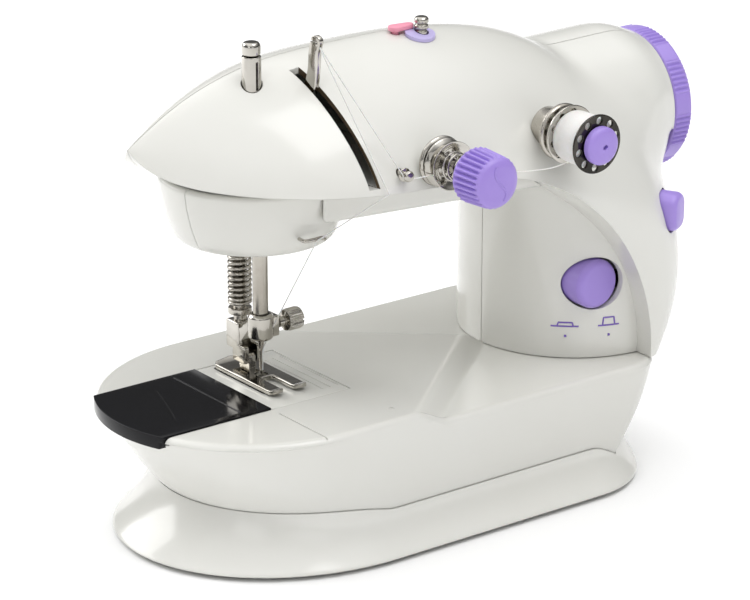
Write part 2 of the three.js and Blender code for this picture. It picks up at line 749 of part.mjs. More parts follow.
/** Needle bar with the slotted yoke in which the crank pin runs. */
function needleBar() {
  const bar = rod(2.5, 64.8, 126, 'z', onNeedle);
  const middle = SHAFT_Z + CRANK_RISE;
  const collar = rod(3.2, middle - 3, middle + 3, 'z', onNeedle);
  const yoke = block([-40, DRIVE_Y - 13, middle - 3], [-38.4, 13, middle + 3]);
  const slot = block([-39.7, DRIVE_Y - 11.4, middle - 1.5], [-38, 15, middle + 1.5]);
  return solid(bar).add(solid(collar)).add(solid(yoke)).subtract(solid(slot));
}

const CLAMP = { z0: 61.4, z1: 70, screwZ: 65.4 };

function needleClamp() {
  const { z0, z1, screwZ } = CLAMP;
  const body = [
    [3.6, z0],
    [4.2, z0 + 0.8],
    [4.2, z1 - 1],
    [3.4, z1],
  ];
  const cheek = block([NEEDLE_X, DRIVE_Y - 3, z0 + 0.6], [NEEDLE_X + 5.4, DRIVE_Y + 3, z1 - 1]);
  const screw = rod(1.4, NEEDLE_X + 2.8, NEEDLE_X + 8, 'x', [0, DRIVE_Y, screwZ], 12);
  return solid(turned(body, 'z', onNeedle, 24))
    .add(solid(cheek))
    .subtract(solid(screw))
    .subtract(solid(rod(2.8, z0 + 3.1, z1 + 5, 'z', onNeedle)))
    .subtract(solid(rod(1.3, z0 - 5, z0 + 4, 'z', onNeedle, 12)));
}

function clampScrew() {
  const x = NEEDLE_X + 3;
  const profile = [
    [1.1, x],
    [1.1, x + 3.6],
    [1.8, x + 3.6],
    [1.8, x + 6],
    [3.4, x + 6.4],
    [3.7, x + 7.6],
    [3.7, x + 11.4],
    [3.2, x + 12.2],
  ];
  return turned(profile, 'x', [0, DRIVE_Y, CLAMP.screwZ], 24);
}

function needle() {
  const profile = [
    [0.15, 48.4],
    [0.6, 51.4],
    [0.6, 57],
    [1, 58.4],
    [1, CLAMP.z0 + 2.9],
  ];
  return turned(profile, 'z', onNeedle, 12);
}

/** Presser bar with the spring's collar and the bracket that the lifter's cam raises. */
function presserBar() {
  const bar = rod(2.2, 58.4, 132, 'z', onPresser, 20);
  const collar = rod(3.9, 66.2, 68.2, 'z', onPresser, 20);
  const clasp = rod(3.1, 112, 116, 'z', onPresser, 20);
  const arm = block([PRESSER_X, PRESSER_Y, 112], [LIFTER.x + 3, PRESSER_Y + 4, 116]);
  return solid(bar).add(solid(collar)).add(solid(clasp)).add(solid(arm));
}

/** Spring coiled round the presser bar between its collar and the cup. */
function presserSpring() {
  const [turns, perTurn, radius] = [8, 9, 3.35];
  const [low, high] = [69.1, 98.4];
  const path = new THREE.CatmullRomCurve3(
    Array.from({ length: turns * perTurn + 1 }, (_, i) => {
      const angle = (2 * Math.PI * i) / perTurn;
      const z = mix(low, high, i / (turns * perTurn));
      const [dx, dy] = [radius * Math.cos(angle), radius * Math.sin(angle)];
      return new THREE.Vector3(PRESSER_X + dx, PRESSER_Y + dy, z);
    }),
  );
  const circle = new THREE.Shape().absarc(0, 0, 0.75, 0, 2 * Math.PI);
  const options = { steps: turns * perTurn, extrudePath: path, curveSegments: 3 };
  return new THREE.ExtrudeGeometry(circle, options);
}

function footHolder() {
  const [x, y] = [PRESSER_X, PRESSER_Y];
  const top = block([x - 3.4, y - 3.4, 54.6], [x + 3.4, y + 3.4, 64]);
  const reach = block([x - 3.4, FOOT_PIVOT.y - 2, 50.8], [x + 3.4, y, 56.6]);
  const slit = block([x - 1.7, FOOT_PIVOT.y - 3, 50], [x + 1.7, FOOT_PIVOT.y + 3.4, 58]);
  const screw = rod(1.3, x + 2.1, x + 5, 'x', [0, y, 60.4], 12);
  return solid(top)
    .add(solid(reach))
    .subtract(solid(slit))
    .subtract(solid(screw))
    .subtract(solid(rod(2.3, 58.1, 70, 'z', onPresser)));
}

function footScrew() {
  const x = PRESSER_X + 2.5;
  const profile = [
    [1, x],
    [1, x + 1.2],
    [3, x + 1.3],
    [3, x + 5],
    [2.4, x + 5.6],
  ];
  return turned(profile, 'x', [0, PRESSER_Y, 60.4], 20);
}

/** Forked sole with turned-up toes, open around the needle. */
function presserFoot() {
  const [x, y] = [NEEDLE_X, DRIVE_Y];
  const { y: pivotY, z: pivotZ } = FOOT_PIVOT;
  const shape = new THREE.Shape();
  shape.moveTo(x - 7, y - 14);
  shape.quadraticCurveTo(x - 4.8, y - 18, x - 2.2, y - 14);
  shape.lineTo(x - 2.2, y - 3);
  shape.lineTo(x + 2.2, y - 3);
  shape.lineTo(x + 2.2, y - 14);
  shape.quadraticCurveTo(x + 4.8, y - 18, x + 7, y - 14);
  shape.lineTo(x + 7, y + 17);
  shape.quadraticCurveTo(x, y + 20, x - 7, y + 17);
  const sole = new THREE.ExtrudeGeometry(shape, {
    depth: 1.5,
    bevelEnabled: false,
    curveSegments: 6,
  });
  sole.translate(0, 0, DECK_Z + 0.5);
  const eye = rod(2.2, DECK_Z - 1, 60, 'z', onNeedle, 16);
  const lugX = PRESSER_X;
  const lug = block([lugX - 1.3, pivotY - 1.8, DECK_Z + 1], [lugX + 1.3, pivotY + 2.6, pivotZ + 1.4]);
  return solid(sole).subtract(solid(eye)).add(solid(lug));
}

function presserLifter() {
  const { x, z } = LIFTER;
  const hub = solid(rod(3, 22.5, 40, 'y', [x, 0, z]));
  const cam = solid(rod(4.2, PRESSER_Y + 0.3, 23, 'y', [x, 0, z + 0.2], 20));
  const handle = [
    [x - 3, z - 1],
    [x + 1, z + 3.4],
    [x + 4, z + 1],
    [x + 19, z - 17],
    [x + 15, z - 20],
  ];
  const blade = plate(handle, -40, -37.6).rotateX(Math.PI / 2);
  return hub.add(cam).add(solid(blade));
}

// ---------------------------------------------------------------- take-up lever

const leverTurn = Math.atan(LEVER_SLOT.lean);
const leverX = LEVER_SLOT.x - LEVER_SLOT.lean * (LEVER.y - FRONT_Y);

/** A round piece along the lever's pivot. */
function onLeverPivot(radius, from, to, segments = 20) {
  const pin = rod(radius, from, to, 'x', [0, 0, 0], segments);
  return pin.rotateZ(leverTurn).translate(leverX, LEVER.y, LEVER.z);
}

/** Flat lever cut from the slab in which it swings, with its pivot pin. */
function takeUpLever() {
  const spine = new THREE.CatmullRomCurve3(
    [
      [LEVER.y, LEVER.z],
      [-13, 142.5],
      [-18.2, 149],
      [-20, 155],
      [-20.6, 162],
      [-22, 167],
    ].map(([y, z]) => new THREE.Vector3(y, z, 0)),
  );
  const [left, right, steps] = [[], [], 16];
  for (let i = 0; i <= steps; i++) {
    const at = spine.getPoint(i / steps);
    const along = spine.getTangent(i / steps);
    const half = mix(3.2, 1.9, Math.min(1, (1.6 * i) / steps));
    left.push([at.x - along.y * half, at.y + along.x * half]);
    right.unshift([at.x + along.y * half, at.y - along.x * half]);
  }
  const across = (shape) => shape.rotateX(Math.PI / 2).rotateZ(Math.PI / 2);
  const profile = across(plate([...left, ...right], -20, 20)).translate(leverX, 0, 0);
  const eye = rod(1, -60, 0, 'x', [0, -21.6, 164.6], 12);
  const { hub, pin, thick } = LEVER;
  return solid(profile)
    .intersect(solid(leverSlab(thick, -60, 40, 100, 180)))
    .subtract(solid(eye))
    .add(solid(onLeverPivot(hub, -thick / 2, thick / 2)))
    .add(solid(onLeverPivot(pin, -6, 6, 16)));
}

// ---------------------------------------------------------------- thread path on the front

const onTension = [TENSION.x, 0, TENSION.z];

function tensionPost() {
  const profile = [
    [2.3, 36],
    [2.3, 46.6],
    [5, 46.8],
    [5, 48.2],
    [2, 48.6],
    [2, 73],
  ];
  return turned(profile, '-y', onTension, 20);
}

/** Dished washer; flip turns its bulge the other way. */
function tensionDisc(middle, flip) {
  const at = (r, h) => [r, middle + flip * h];
  const [rim, fold] = [TENSION.disc, TENSION.disc - 2.6];
  const inner = [at(2.3, -0.2), at(fold, -0.1), at(rim, 1.2)];
  const outer = [at(rim, 1.9), at(fold, 0.7), at(2.3, 0.6)];
  const profile = [...inner, ...outer];
  return ring(profile, '-y', onTension, 24);
}

/** Check spring wound round the post behind the knob. */
function tensionSpring() {
  const [turns, perTurn] = [3, 12];
  const points = Array.from({ length: turns * perTurn + 1 }, (_, i) => {
    const angle = (2 * Math.PI * i) / perTurn;
    const depth = mix(53.4, 62.6, i / (turns * perTurn));
    const [dx, dz] = [3.3 * Math.cos(angle), 3.3 * Math.sin(angle)];
    return [TENSION.x + dx, -depth, TENSION.z + dz];
  });
  return wire(points, 0.45, turns * perTurn, 3);
}

function tensionKnob() {
  const { x, z, knob } = TENSION;
  const profile = [
    [knob - 0.8, 63.6],
    [knob, 64.4],
    [knob, 74],
    [knob - 0.8, 75.8],
    [knob - 2.4, 76.4],
  ];
  const rib = (i) => {
    const angle = (2 * Math.PI * i) / 20;
    const at = [x + knob * Math.cos(angle), 0, z + knob * Math.sin(angle)];
    return solid(rod(0.7, 65, 73.8, '-y', at, 5));
  };
  const body = solid(turned(profile, '-y', onTension, 32));
  return Array.from({ length: 20 }, (_, i) => rib(i))
    .reduce((sum, next) => sum.add(next), body)
    .subtract(solid(rod(2.1, 62, 73.4, '-y', onTension, 20)));
}

/** Flanged bobbin with a row of round holes in each flange. */
function bobbin(axis, place, from, width, r, holes) {
  const profile = [
    [3, from],
    [r, from],
    [r, from + 0.9],
    [4.2, from + 0.9],
    [4.2, from + width - 0.9],
    [r, from + width - 0.9],
    [r, from + width],
    [3, from + width],
  ];
  const [px, , pz] = place;
  const drill = (i) => {
    const angle = (2 * Math.PI * i) / holes;
    const at = [px + (r - 1.8) * Math.cos(angle), 0, pz + (r - 1.8) * Math.sin(angle)];
    return solid(rod(1.05, from - 1, from + width + 1, axis, at, 7));
  };
  const body = solid(ring(profile, axis, place, 30));
  return Array.from({ length: holes }, (_, i) => drill(i)).reduce((a, b) => a.subtract(b), body);
}

/** Thread wound between the flanges of the upper bobbin. */
function bobbinThread() {
  const [from, to] = [1.2 - BOBBIN.y, BOBBIN.width - 1.2 - BOBBIN.y];
  const profile = [
    [4.5, from],
    [8.2, from],
    [8.5, from + 1.6],
    [8.5, to - 1.6],
    [8.2, to],
    [4.5, to],
  ];
  return ring(profile, '-y', onBobbin, 24);
}

const onBobbin = [BOBBIN.x, 0, BOBBIN.z];

function bobbinPin() {
  const front = -BOBBIN.y + BOBBIN.width;
  const profile = [
    [2.6, 28],
    [2.6, 43],
    [4.4, 44.8],
    [4.4, 50.2],
    [2.6, 50.5],
    [2.6, front + 3],
  ];
  return turned(profile, '-y', onBobbin, 20);
}

function bobbinCap() {
  const front = -BOBBIN.y + BOBBIN.width + GAP;
  const profile = [
    [5.8, front],
    [6.2, front + 0.6],
    [6.2, front + 3],
    [5.4, front + 3.8],
  ];
  const bore = rod(2.8, front - 1, front + 3, '-y', onBobbin);
  return solid(turned(profile, '-y', onBobbin, 24)).subtract(solid(bore));
}

/** Small chrome loop that leads the thread along the arm. */
function armGuide() {
  const { x, z } = GUIDE;
  const profile = [
    [1, 38],
    [1, 46.4],
    [2.2, 46.6],
    [2.2, 47.2],
    [1, 47.4],
    [1, 48.8],
    [1.9, 49.1],
    [1.4, 50],
  ];
  return turned(profile, '-y', [x, 0, z], 16);
}

/** Bent wire at the cup's lower edge, just above the needle. */
function cupGuide() {
  const { x, y, r, bottom } = CUP;
  const [dx, dy] = [Math.cos(radians(-88)), Math.sin(radians(-88))];
  const at = (reach, side, z) => [x + dx * (r + reach) - dy * side, y + dy * (r + reach) + dx * side, z];
  const z = bottom + 6.5;
  const points = [at(-2.6, -4, z), at(0.4, -4, z), at(1, -1, z), at(1, 2, z), at(0.2, 4, z - 1)];
  return wire(points, 0.6, 14, 3);
}

// ---------------------------------------------------------------- buttons and sockets

/** Rounded push button standing out of the right shoulder. */
function powerButton(grow, from, to) {
  const { x, y, z, turn, half } = POWER_BUTTON;
  const [w, h, r] = [half[0] + grow, half[1] + grow, 4];
  const shape = new THREE.Shape();
  shape.absarc(h - r, w - r, r, 0, Math.PI / 2);
  shape.absarc(r - h, w - r, r, Math.PI / 2, Math.PI);
  shape.absarc(r - h, r - w, r, Math.PI, 1.5 * Math.PI);
  shape.absarc(h - r, r - w, r, 1.5 * Math.PI, 2 * Math.PI);
  const options = { depth: to - from, bevelEnabled: false, curveSegments: 5 };
  const bar = new THREE.ExtrudeGeometry(shape, options).translate(0, 0, from);
  return bar.rotateY(Math.PI / 2).rotateZ(radians(-turn)).translate(x, y, z);
}

function speedButton() {
  const { x, z, r, face } = SPEED_BUTTON;
  const profile = [
    [r - 0.4, face - 15],
    [r, face - 14.4],
    [r, face - 1.4],
    [r - 0.5, face - 0.5],
    [r - 1.8, face],
  ];
  return turned(profile, '-y', [x, 0, z], 28);
}

function jack(height) {
  const { y, r } = JACKS;
  const profile = [
    [r, 84],
    [r, JACK_FACE],
    [1.3, JACK_FACE],
    [1.3, 88],
    [0, 88],
  ];
  return turned(profile, 'x', [0, y, height], 20);
}

// ---------------------------------------------------------------- spool pin and winder

function spoolPinBase() {
  const { x, y, z } = SPOOL_PIN;
  return tube(2.3, 3.05, z - 12, z + 8.6, 'z', [x, y, 0], 24);
}

function spoolPinTop() {
  const { x, y, z } = SPOOL_PIN;
  const profile = [
    [1.9, z - 11],
    [1.9, z + 8.8],
    [2.9, z + 8.9],
    [2.9, z + 12.2],
    [2.3, z + 13],
  ];
  return turned(profile, 'z', [x, y, 0], 24);
}

function winderSpindle() {
  const { x, y, z } = WINDER;
  const profile = [
    [1.9, z - 12],
    [1.9, z + 2.2],
    [1.5, z + 2.4],
    [2.3, z + 3.2],
    [2.3, z + 4.2],
    [1.7, z + 4.5],
    [2.3, z + 5],
    [2.3, z + 6.4],
    [1.7, z + 6.9],
  ];
  return turned(profile, 'z', [x, y, 0], 20);
}

/** Thin oval plate that follows the dome around the spindle. */
function winderPlate() {
  const { x, y } = WINDER;
  const oval = new THREE.Shape().absellipse(x - 1, y - 0.6, 5.4, 3.9, 0, 2 * Math.PI);
  const options = { depth: 60, bevelEnabled: false, curveSegments: 14 };
  const column = new THREE.ExtrudeGeometry(oval, options).translate(0, 0, 120);
  return solid(column)
    .intersect(dome(1.3, 0, DOME_FINE))
    .subtract(dome(GAP, 0, DOME_FINE))
    .subtract(solid(rod(2.4, 100, 200, 'z', [x, y, 0])))
    .intersect(solid(block([x - 20, y - 20, 150], [x + 20, y + 20, 170])));
}

/** Stop finger beside the spindle; it swings about its own pin. */
function winderStop() {
  const { x, y, z } = WINDER_STOP;
  const shape = new THREE.Shape();
  shape.absarc(x, y, 2.4, Math.PI / 2, 1.5 * Math.PI);
  shape.absarc(x + 5.2, y, 1.7, -Math.PI / 2, Math.PI / 2);
  const options = { depth: 1.5, bevelEnabled: false, curveSegments: 8 };
  const finger = new THREE.ExtrudeGeometry(shape, options).translate(0, 0, z);
  const pin = rod(1.1, z - 6, z + 0.5, 'z', [x, y, 0], 12);
  return solid(finger).add(solid(pin));
}

// ---------------------------------------------------------------- assembly

const machine = new THREE.Group();
machine.position.set(FOOTPRINT_SHIFT.x, FOOTPRINT_SHIFT.y, 0);

function add(name, shape, look) {
  const geometry = shape.isBufferGeometry ? closed(shape) : surfaceOf(shape);
  const mesh = new THREE.Mesh(geometry, new THREE.MeshStandardMaterial(look));
  mesh.name = name;
  machine.add(mesh);
}

const blank = shellBlank();
add('front_shell', frontShell(blank), WHITE);
add('rear_shell', rearShell(blank), WHITE);
add('arm_beam', armBeam(), WHITE);
add('cup_front', cupHalf(frontHalf), WHITE);
add('cup_rear', cupHalf(rearHalf), WHITE);
add('bed_body', bedBody(), WHITE);
add('needle_plate', needlePlate(), WHITE);
add('slide_plate', slidePlate(), BLACK);
add('stand', stand(), WHITE);
add('bottom_plate', bottomPlate(), WHITE);
add('battery_door', batteryDoor(), WHITE);
Object.entries(FOOT_PLACES).forEach(([name, [x, y]]) => add(name, rubberFoot(x, y), RUBBER));

const timingTop = [DRIVE_Y, SHAFT_Z, TIMING_BELT.r];
const timingLow = [DRIVE_Y, LOWER_SHAFT_Z, TIMING_BELT.r];
const driveTop = [DRIVE_Y, SHAFT_Z, DRIVE_BELT.r];
const driveLow = [MOTOR.y, MOTOR.z, MOTOR.pulley];
const onMotor = [0, MOTOR.y, MOTOR.z];
add('hand_wheel', handWheel(), PURPLE);
add('main_shaft', mainShaft(), STEEL);
add('crank_disc', crankDisc(), STEEL);
add('drive_belt', belt(DRIVE_BELT, driveTop, driveLow), RUBBER);
add('motor', rod(MOTOR.r, MOTOR.x0, MOTOR.x1, 'x', onMotor, 28), STEEL);
add('motor_pulley', rod(MOTOR.pulley, MOTOR.x1 + GAP, DRIVE_BELT.x + 3, 'x', onMotor, 20), BLACK);
add('timing_belt', belt(TIMING_BELT, timingTop, timingLow), RUBBER);
add('lower_shaft', lowerShaft(), STEEL);
add('rotary_hook', rotaryHook(), STEEL);
add('bobbin_case', bobbinCase(), STEEL);
add('lower_bobbin', bobbin('x', onLowerShaft, -57.5, 10.5, 10, 0), CHROME);
add('feed_dog', feedDog(), STEEL);

add('needle_bar', needleBar(), CHROME);
add('needle_clamp', needleClamp(), CHROME);
add('clamp_screw', clampScrew(), CHROME);
add('needle', needle(), CHROME);
add('presser_bar', presserBar(), CHROME);
add('presser_spring', presserSpring(), STEEL);
add('foot_holder', footHolder(), CHROME);
add('foot_screw', footScrew(), CHROME);
add('presser_foot', presserFoot(), CHROME);
add('presser_lifter', presserLifter(), GREY);
add('take_up_lever', takeUpLever(), CHROME);

add('tension_post', tensionPost(), CHROME);
add('tension_disc_rear', tensionDisc(50.4, -1), CHROME);
add('tension_disc_front', tensionDisc(51.6, 1), CHROME);
add('tension_spring', tensionSpring(), CHROME);
add('tension_knob', tensionKnob(), PURPLE);
add('arm_guide', armGuide(), CHROME);
add('cup_guide', cupGuide(), CHROME);
add('bobbin_pin', bobbinPin(), CHROME);
add('upper_bobbin', bobbin('-y', onBobbin, -BOBBIN.y, BOBBIN.width, BOBBIN.r, 10), CHROME);
add('bobbin_thread', bobbinThread(), THREAD);
add('bobbin_cap', bobbinCap(), PURPLE);
add('spool_pin_base', spoolPinBase(), CHROME);
add('spool_pin_top', spoolPinTop(), CHROME);
add('winder_spindle', winderSpindle(), CHROME);
add('winder_plate', winderPlate(), LAVENDER);
add('winder_stop', winderStop(), PINK);
add('power_button', powerButton(0, -7, POWER_BUTTON.proud), PURPLE);
add('speed_button', speedButton(), PURPLE);
add('power_jack', jack(JACKS.z[0]), BLACK);
add('pedal_jack', jack(JACKS.z[1]), BLACK);

export default machine;
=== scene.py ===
"""Portable sewing machine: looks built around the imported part, in metres.

Lengths below are in millimetres in the part's drawing frame, whose zero is the middle
of the stand at floor level; to_frame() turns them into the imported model's frame.
"""
import math

import bmesh
import bpy
import numpy as np
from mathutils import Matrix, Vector
from mathutils.bvhtree import BVHTree


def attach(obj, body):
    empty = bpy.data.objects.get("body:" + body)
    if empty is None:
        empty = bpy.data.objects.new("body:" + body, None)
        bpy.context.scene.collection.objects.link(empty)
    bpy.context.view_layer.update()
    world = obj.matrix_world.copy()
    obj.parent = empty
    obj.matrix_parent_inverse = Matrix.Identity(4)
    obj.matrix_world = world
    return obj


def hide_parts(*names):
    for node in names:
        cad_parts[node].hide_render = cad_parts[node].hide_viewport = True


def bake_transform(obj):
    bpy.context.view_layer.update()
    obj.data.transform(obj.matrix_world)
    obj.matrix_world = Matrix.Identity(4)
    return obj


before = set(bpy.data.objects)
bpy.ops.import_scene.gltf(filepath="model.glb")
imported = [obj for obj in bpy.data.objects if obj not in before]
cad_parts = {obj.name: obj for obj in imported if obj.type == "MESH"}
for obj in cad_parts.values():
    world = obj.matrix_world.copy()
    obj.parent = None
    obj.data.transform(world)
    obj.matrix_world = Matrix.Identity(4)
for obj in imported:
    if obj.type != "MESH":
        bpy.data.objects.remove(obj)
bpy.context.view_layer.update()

MM = 0.001
SHIFT = np.array([-10.75, 10.95, 0.0])
GAP = 0.3
WALL = 2.2
FAR = 200
CUT, ADD, KEEP = "DIFFERENCE", "UNION", "INTERSECT"

SEAM_Y = -2.0
FRONT_Y = -47.5
THROAT = {"z": 44.0, "rx": 80.3, "rz": 75.0}
NOSE = (-94.6, SEAM_Y, 136.2)
HEAD_EDGE = [(-91.5, -8, 131), (-80, -20.5, 125.2), (-52, -40.5, 122), (-18, FRONT_Y, 119.9)]
ARCH_DEG = [6, 22, 37, 52, 65, 76, 86, 95]
CREST = [
    (-42, 130.4), (-34, 127), (-22, 120.8), (-8, 114.6), (6, 113.7), (22, 116.6),
    (37, 119.1), (52, 118.6), (65, 118.9), (76, 115.3), (86, 104.2), (95, 86),
]
ARM_SECTION = (0.38, 0.89, 0.6)
COLUMN_SECTION = (0.62, 1.0, 0.42)
SECTION_BLEND = (6, 9.2)
COLUMN = {"x": 83.0, "r": 38.5, "top": 111.0}

DRIVE_Y = 4.0
SHAFT_Z = 114.0
WHEEL = {"r": 24.2, "x0": 112.9, "x1": 121.0}
HOUSING = {"r0": 27.6, "r1": 28.2, "x0": 58.0, "x1": 103.0, "x2": 112.4, "r2": 24.2}
NEEDLE_X = -41.5
PRESSER_X = -40.5
PRESSER_Y = 17.0
SLOT = {"x": -32.2, "lean": 0.184, "width": 3.6, "top": -11.6}
LEVER = {"y": -6.0, "z": 134.0, "thick": 1.8}

DECK_Z = 47.1
LOW_DECK_Z = 42.2
RAMP = {"high": (28.0, -9.0), "dir": (48.8, 41.3), "run": 6.0}
BAY = {"y0": -19.5, "y1": 24.0, "split": -54.0, "x1": -23.0}
HULL = {
    "left": -98.9, "right": 91.5, "front": -50.6, "rear": 49.8, "keel": 10, "bow": -45,
    "stern": 68.0, "bow_rake": 24.6, "bow_tuck": 12, "rake": 24, "stern_curve": 1.9,
    "side_rake": 1.4, "side_tuck": 4.5, "blunt": 3.0,
}
STAND = {
    "left": -94.3, "right": 94.3, "front": -54.5, "rear": 54.5, "foot": 1.2, "bow": -30.0,
    "stern": 55.0, "left_flare": 17, "right_flare": 6, "side_flare": 7.6, "flare": 1.9,
    "end_rise": 24, "side_rise": 14, "top": 38, "blunt": 2.1,
}
CUP = {"x": -43.6, "y": 4.0, "r": 31.0, "bottom": 97.5, "top": 119.2, "seam": 0.12}

TENSION = {"x": -8.5, "z": 127.7}
BOBBIN = {"x": 40.2, "z": 128.3, "front": 50.8, "width": 13.6, "r": 9.6}
SPEED = {"x": 65.0, "z": 68.5, "r": 8.4, "face": 38.0}
POWER = {
    "x": 94.0, "y": -38.0, "z": 88.6, "turn": 60.0, "half": (5.2, 6.4), "corner": 4.0, "proud": 4.8
}
JACKS = {"y": -22.0, "z": (62.0, 73.0), "r": 3.0}
SPOOL = (-54.0, -10.5, 152.6)
WINDER = (13.5, -8.5, 155.2)
STOP = (5.4, -5.4, 158.0)
GUIDE = (-22.6, 126.0)
ARM_OPENING = ((-22, -24, 95), (43, 20, 121.5))
VENT = ((70, 20, 52), (96, 60, 54))
VENT_PITCH = 5
MARKS = {"z": 53.6, "dot_z": -3.4, "keys": ((57.2, 1.3), (69.6, 2.7))}
THREAD_EYE = (-21.6, 164.6)
BATTERY = (-34.0, 34.0, -26.0, 26.0)
LIFTER = (-31.0, 107.0)
CLAMP = {"z0": 61.4, "z1": 70.0, "screw": 65.4}
FOOT_PIVOT = (12.0, 52.4)
FEET = {
    "rubber_foot_front_left": (-56, -32),
    "rubber_foot_front_right": (64, -32),
    "rubber_foot_rear_left": (-56, 32),
    "rubber_foot_rear_right": (64, 32),
}

# ------------------------------------------------------------------ mesh helpers


def to_frame(points):
    """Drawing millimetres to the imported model's metres."""
    return (np.asarray(points, float).reshape(-1, 3) + SHIFT) * MM


def weld(mesh, distance=1e-6):
    """Joins doubled corners and turns every face outward."""
    work = bmesh.new()
    work.from_mesh(mesh)
    bmesh.ops.remove_doubles(work, verts=work.verts, dist=distance)
    bmesh.ops.recalc_face_normals(work, faces=work.faces)
    work.to_mesh(mesh)
    work.free()


def make(name, points, faces):
    mesh = bpy.data.meshes.new(name)
    mesh.from_pydata(to_frame(points).tolist(), [], [list(map(int, f)) for f in faces])
    obj = bpy.data.objects.new(name, mesh)
    bpy.context.scene.collection.objects.link(obj)
    weld(mesh)
    return obj


def settle(obj):
    """Applies the object's modifiers to its mesh."""
    graph = bpy.context.evaluated_depsgraph_get()
    mesh = bpy.data.meshes.new_from_object(obj.evaluated_get(graph))
    old = obj.data
    obj.modifiers.clear()
    obj.data = mesh
    bpy.data.meshes.remove(old)
    return obj


def carve(obj, steps):
    """Boolean steps of (operation, tool), in order; the tools are used up."""
    for operation, tool in steps:
        cut = obj.modifiers.new("carve", "BOOLEAN")
        cut.operation = operation
        cut.solver = "MANIFOLD"
        cut.object = tool
    settle(obj)
    for _, tool in steps:
        bpy.data.objects.remove(tool)
    return obj


def less(obj, *tools):
    return carve(obj, [(CUT, tool) for tool in tools])


def plus(obj, *tools):
    return carve(obj, [(ADD, tool) for tool in tools])


def only(obj, tool):
    return carve(obj, [(KEEP, tool)])


def copy(obj, name):
    twin = bpy.data.objects.new(name, obj.data.copy())
    bpy.context.scene.collection.objects.link(twin)
    return twin


def soften(obj, width, segments=3, angle=30):
    """Rounds the edges of a crisp solid."""
    bevel = obj.modifiers.new("soften", "BEVEL")
    bevel.width = width * MM
    bevel.segments = segments
    bevel.limit_method = "ANGLE"
    bevel.angle_limit = math.radians(angle)
    return settle(obj)


def rounded(profile, radius, steps=4, closed=False):
    """A polyline with its corners turned into short curves."""
    points = [np.array(p, float) for p in profile]
    out = []
    for i, p in enumerate(points):
        if not closed and i in (0, len(points) - 1):
            out.append(p)
            continue
        before = points[i - 1] - p
        after = points[(i + 1) % len(points)] - p
        cut = min(radius, 0.45 * np.linalg.norm(before), 0.45 * np.linalg.norm(after))
        start = p + before / np.linalg.norm(before) * cut
        end = p + after / np.linalg.norm(after) * cut
        for k in range(steps + 1):
            t = k / steps
            out.append((1 - t) ** 2 * start + 2 * t * (1 - t) * p + t * t * end)
    return [tuple(p) for p in out]


def at_height(base, pairs):
    """A profile whose heights are counted from a base."""
    return [(r, base + h) for r, h in pairs]


def arcs(*turns, steps, sweep=180):
    """Outline of circle arcs, each a (centre, radius, start in degrees)."""
    outline = []
    for (x, y), r, start in turns:
        for a in np.radians(np.linspace(start, start + sweep, steps)):
            outline.append((x + r * math.cos(a), y + r * math.sin(a)))
    return outline


def place_round(axis, c, s, h, place):
    """Points of a turned shape whose height h runs along the axis."""
    if axis == "z":
        xyz = [c, s, h]
    elif axis == "x":
        xyz = [h, c, s]
    else:
        xyz = [c, h if axis == "y" else -h, s]
    return np.stack(xyz, -1) + np.array(place, float)


def lathe(name, profile, axis, place, segments=64, rib=None):
    """A turned solid of (radius, height) pairs; open profiles end on the axis.

    rib(angle, radius, height) returns the ribbed radius where one is given.
    """
    closed = profile[0][0] > 0
    angle = np.linspace(0, 2 * np.pi, segments, endpoint=False)
    rows = []
    for r, h in profile:
        radius = np.full(segments, float(r)) if rib is None else rib(angle, r, h)
        across, up = radius * np.cos(angle), radius * np.sin(angle)
        rows.append(place_round(axis, across, up, np.full(segments, float(h)), place))
    return skin(name, rows, closed)


def skin(name, rows, closed=False):
    """A closed surface through rows of equal length; open stacks get end caps."""
    count = len(rows[0])
    points = np.concatenate(rows)
    faces = []
    last = len(rows) if closed else len(rows) - 1
    for i in range(last):
        a, b = i * count, (i + 1) % len(rows) * count
        for k in range(count):
            n = (k + 1) % count
            faces.append((a + k, a + n, b + n, b + k))
    if not closed:
        faces.append(range(count))
        faces.append(range((len(rows) - 1) * count, len(rows) * count))
    return make(name, points, faces)


def turned(profile, soft, axis, place, segments=64):
    """A turned solid whose profile has its corners rounded."""
    return lathe("turned", rounded(profile, soft), axis, place, segments)


def rod(name, radius, low, high, axis, place, segments=32):
    return lathe(name, [(0, low), (radius, low), (radius, high), (0, high)], axis, place, segments)


def block(name, low, high):
    (x0, y0, z0), (x1, y1, z1) = low, high
    row = lambda z: np.array([(x0, y0, z), (x1, y0, z), (x1, y1, z), (x0, y1, z)], float)
    return skin(name, [row(z0), row(z1)])


def region(name, y0=-FAR, y1=FAR, z0=-50, z1=300):
    """Everything between two depths and two heights."""
    return block(name, (-FAR, y0, z0), (FAR, y1, z1))


def slab(name, outline, low, high, axis="z"):
    """A flat plate. The outline is (x, y), (y, z) or (x, z) for axis z, x or y."""
    outline = np.asarray(outline, float)
    a, b = outline[:, 0], outline[:, 1]

    def row(h):
        h = np.full(len(a), float(h))
        return np.stack({"z": [a, b, h], "x": [h, a, b], "y": [a, h, b]}[axis], -1)

    return skin(name, [row(low), row(high)])


def curve_through(points, count):
    """Catmull-Rom points through the given ones."""
    p = np.asarray(points, float)
    p = np.vstack([2 * p[0] - p[1], p, 2 * p[-1] - p[-2]])
    t = np.linspace(0, len(p) - 3 - 1e-9, count)
    i = np.floor(t).astype(int)
    f = (t - i)[:, None]
    a, b, c, d = p[i], p[i + 1], p[i + 2], p[i + 3]
    line = 2 * b + (c - a) * f + (2 * a - 5 * b + 4 * c - d) * f**2
    return 0.5 * (line + (3 * b - a - 3 * c + d) * f**3)


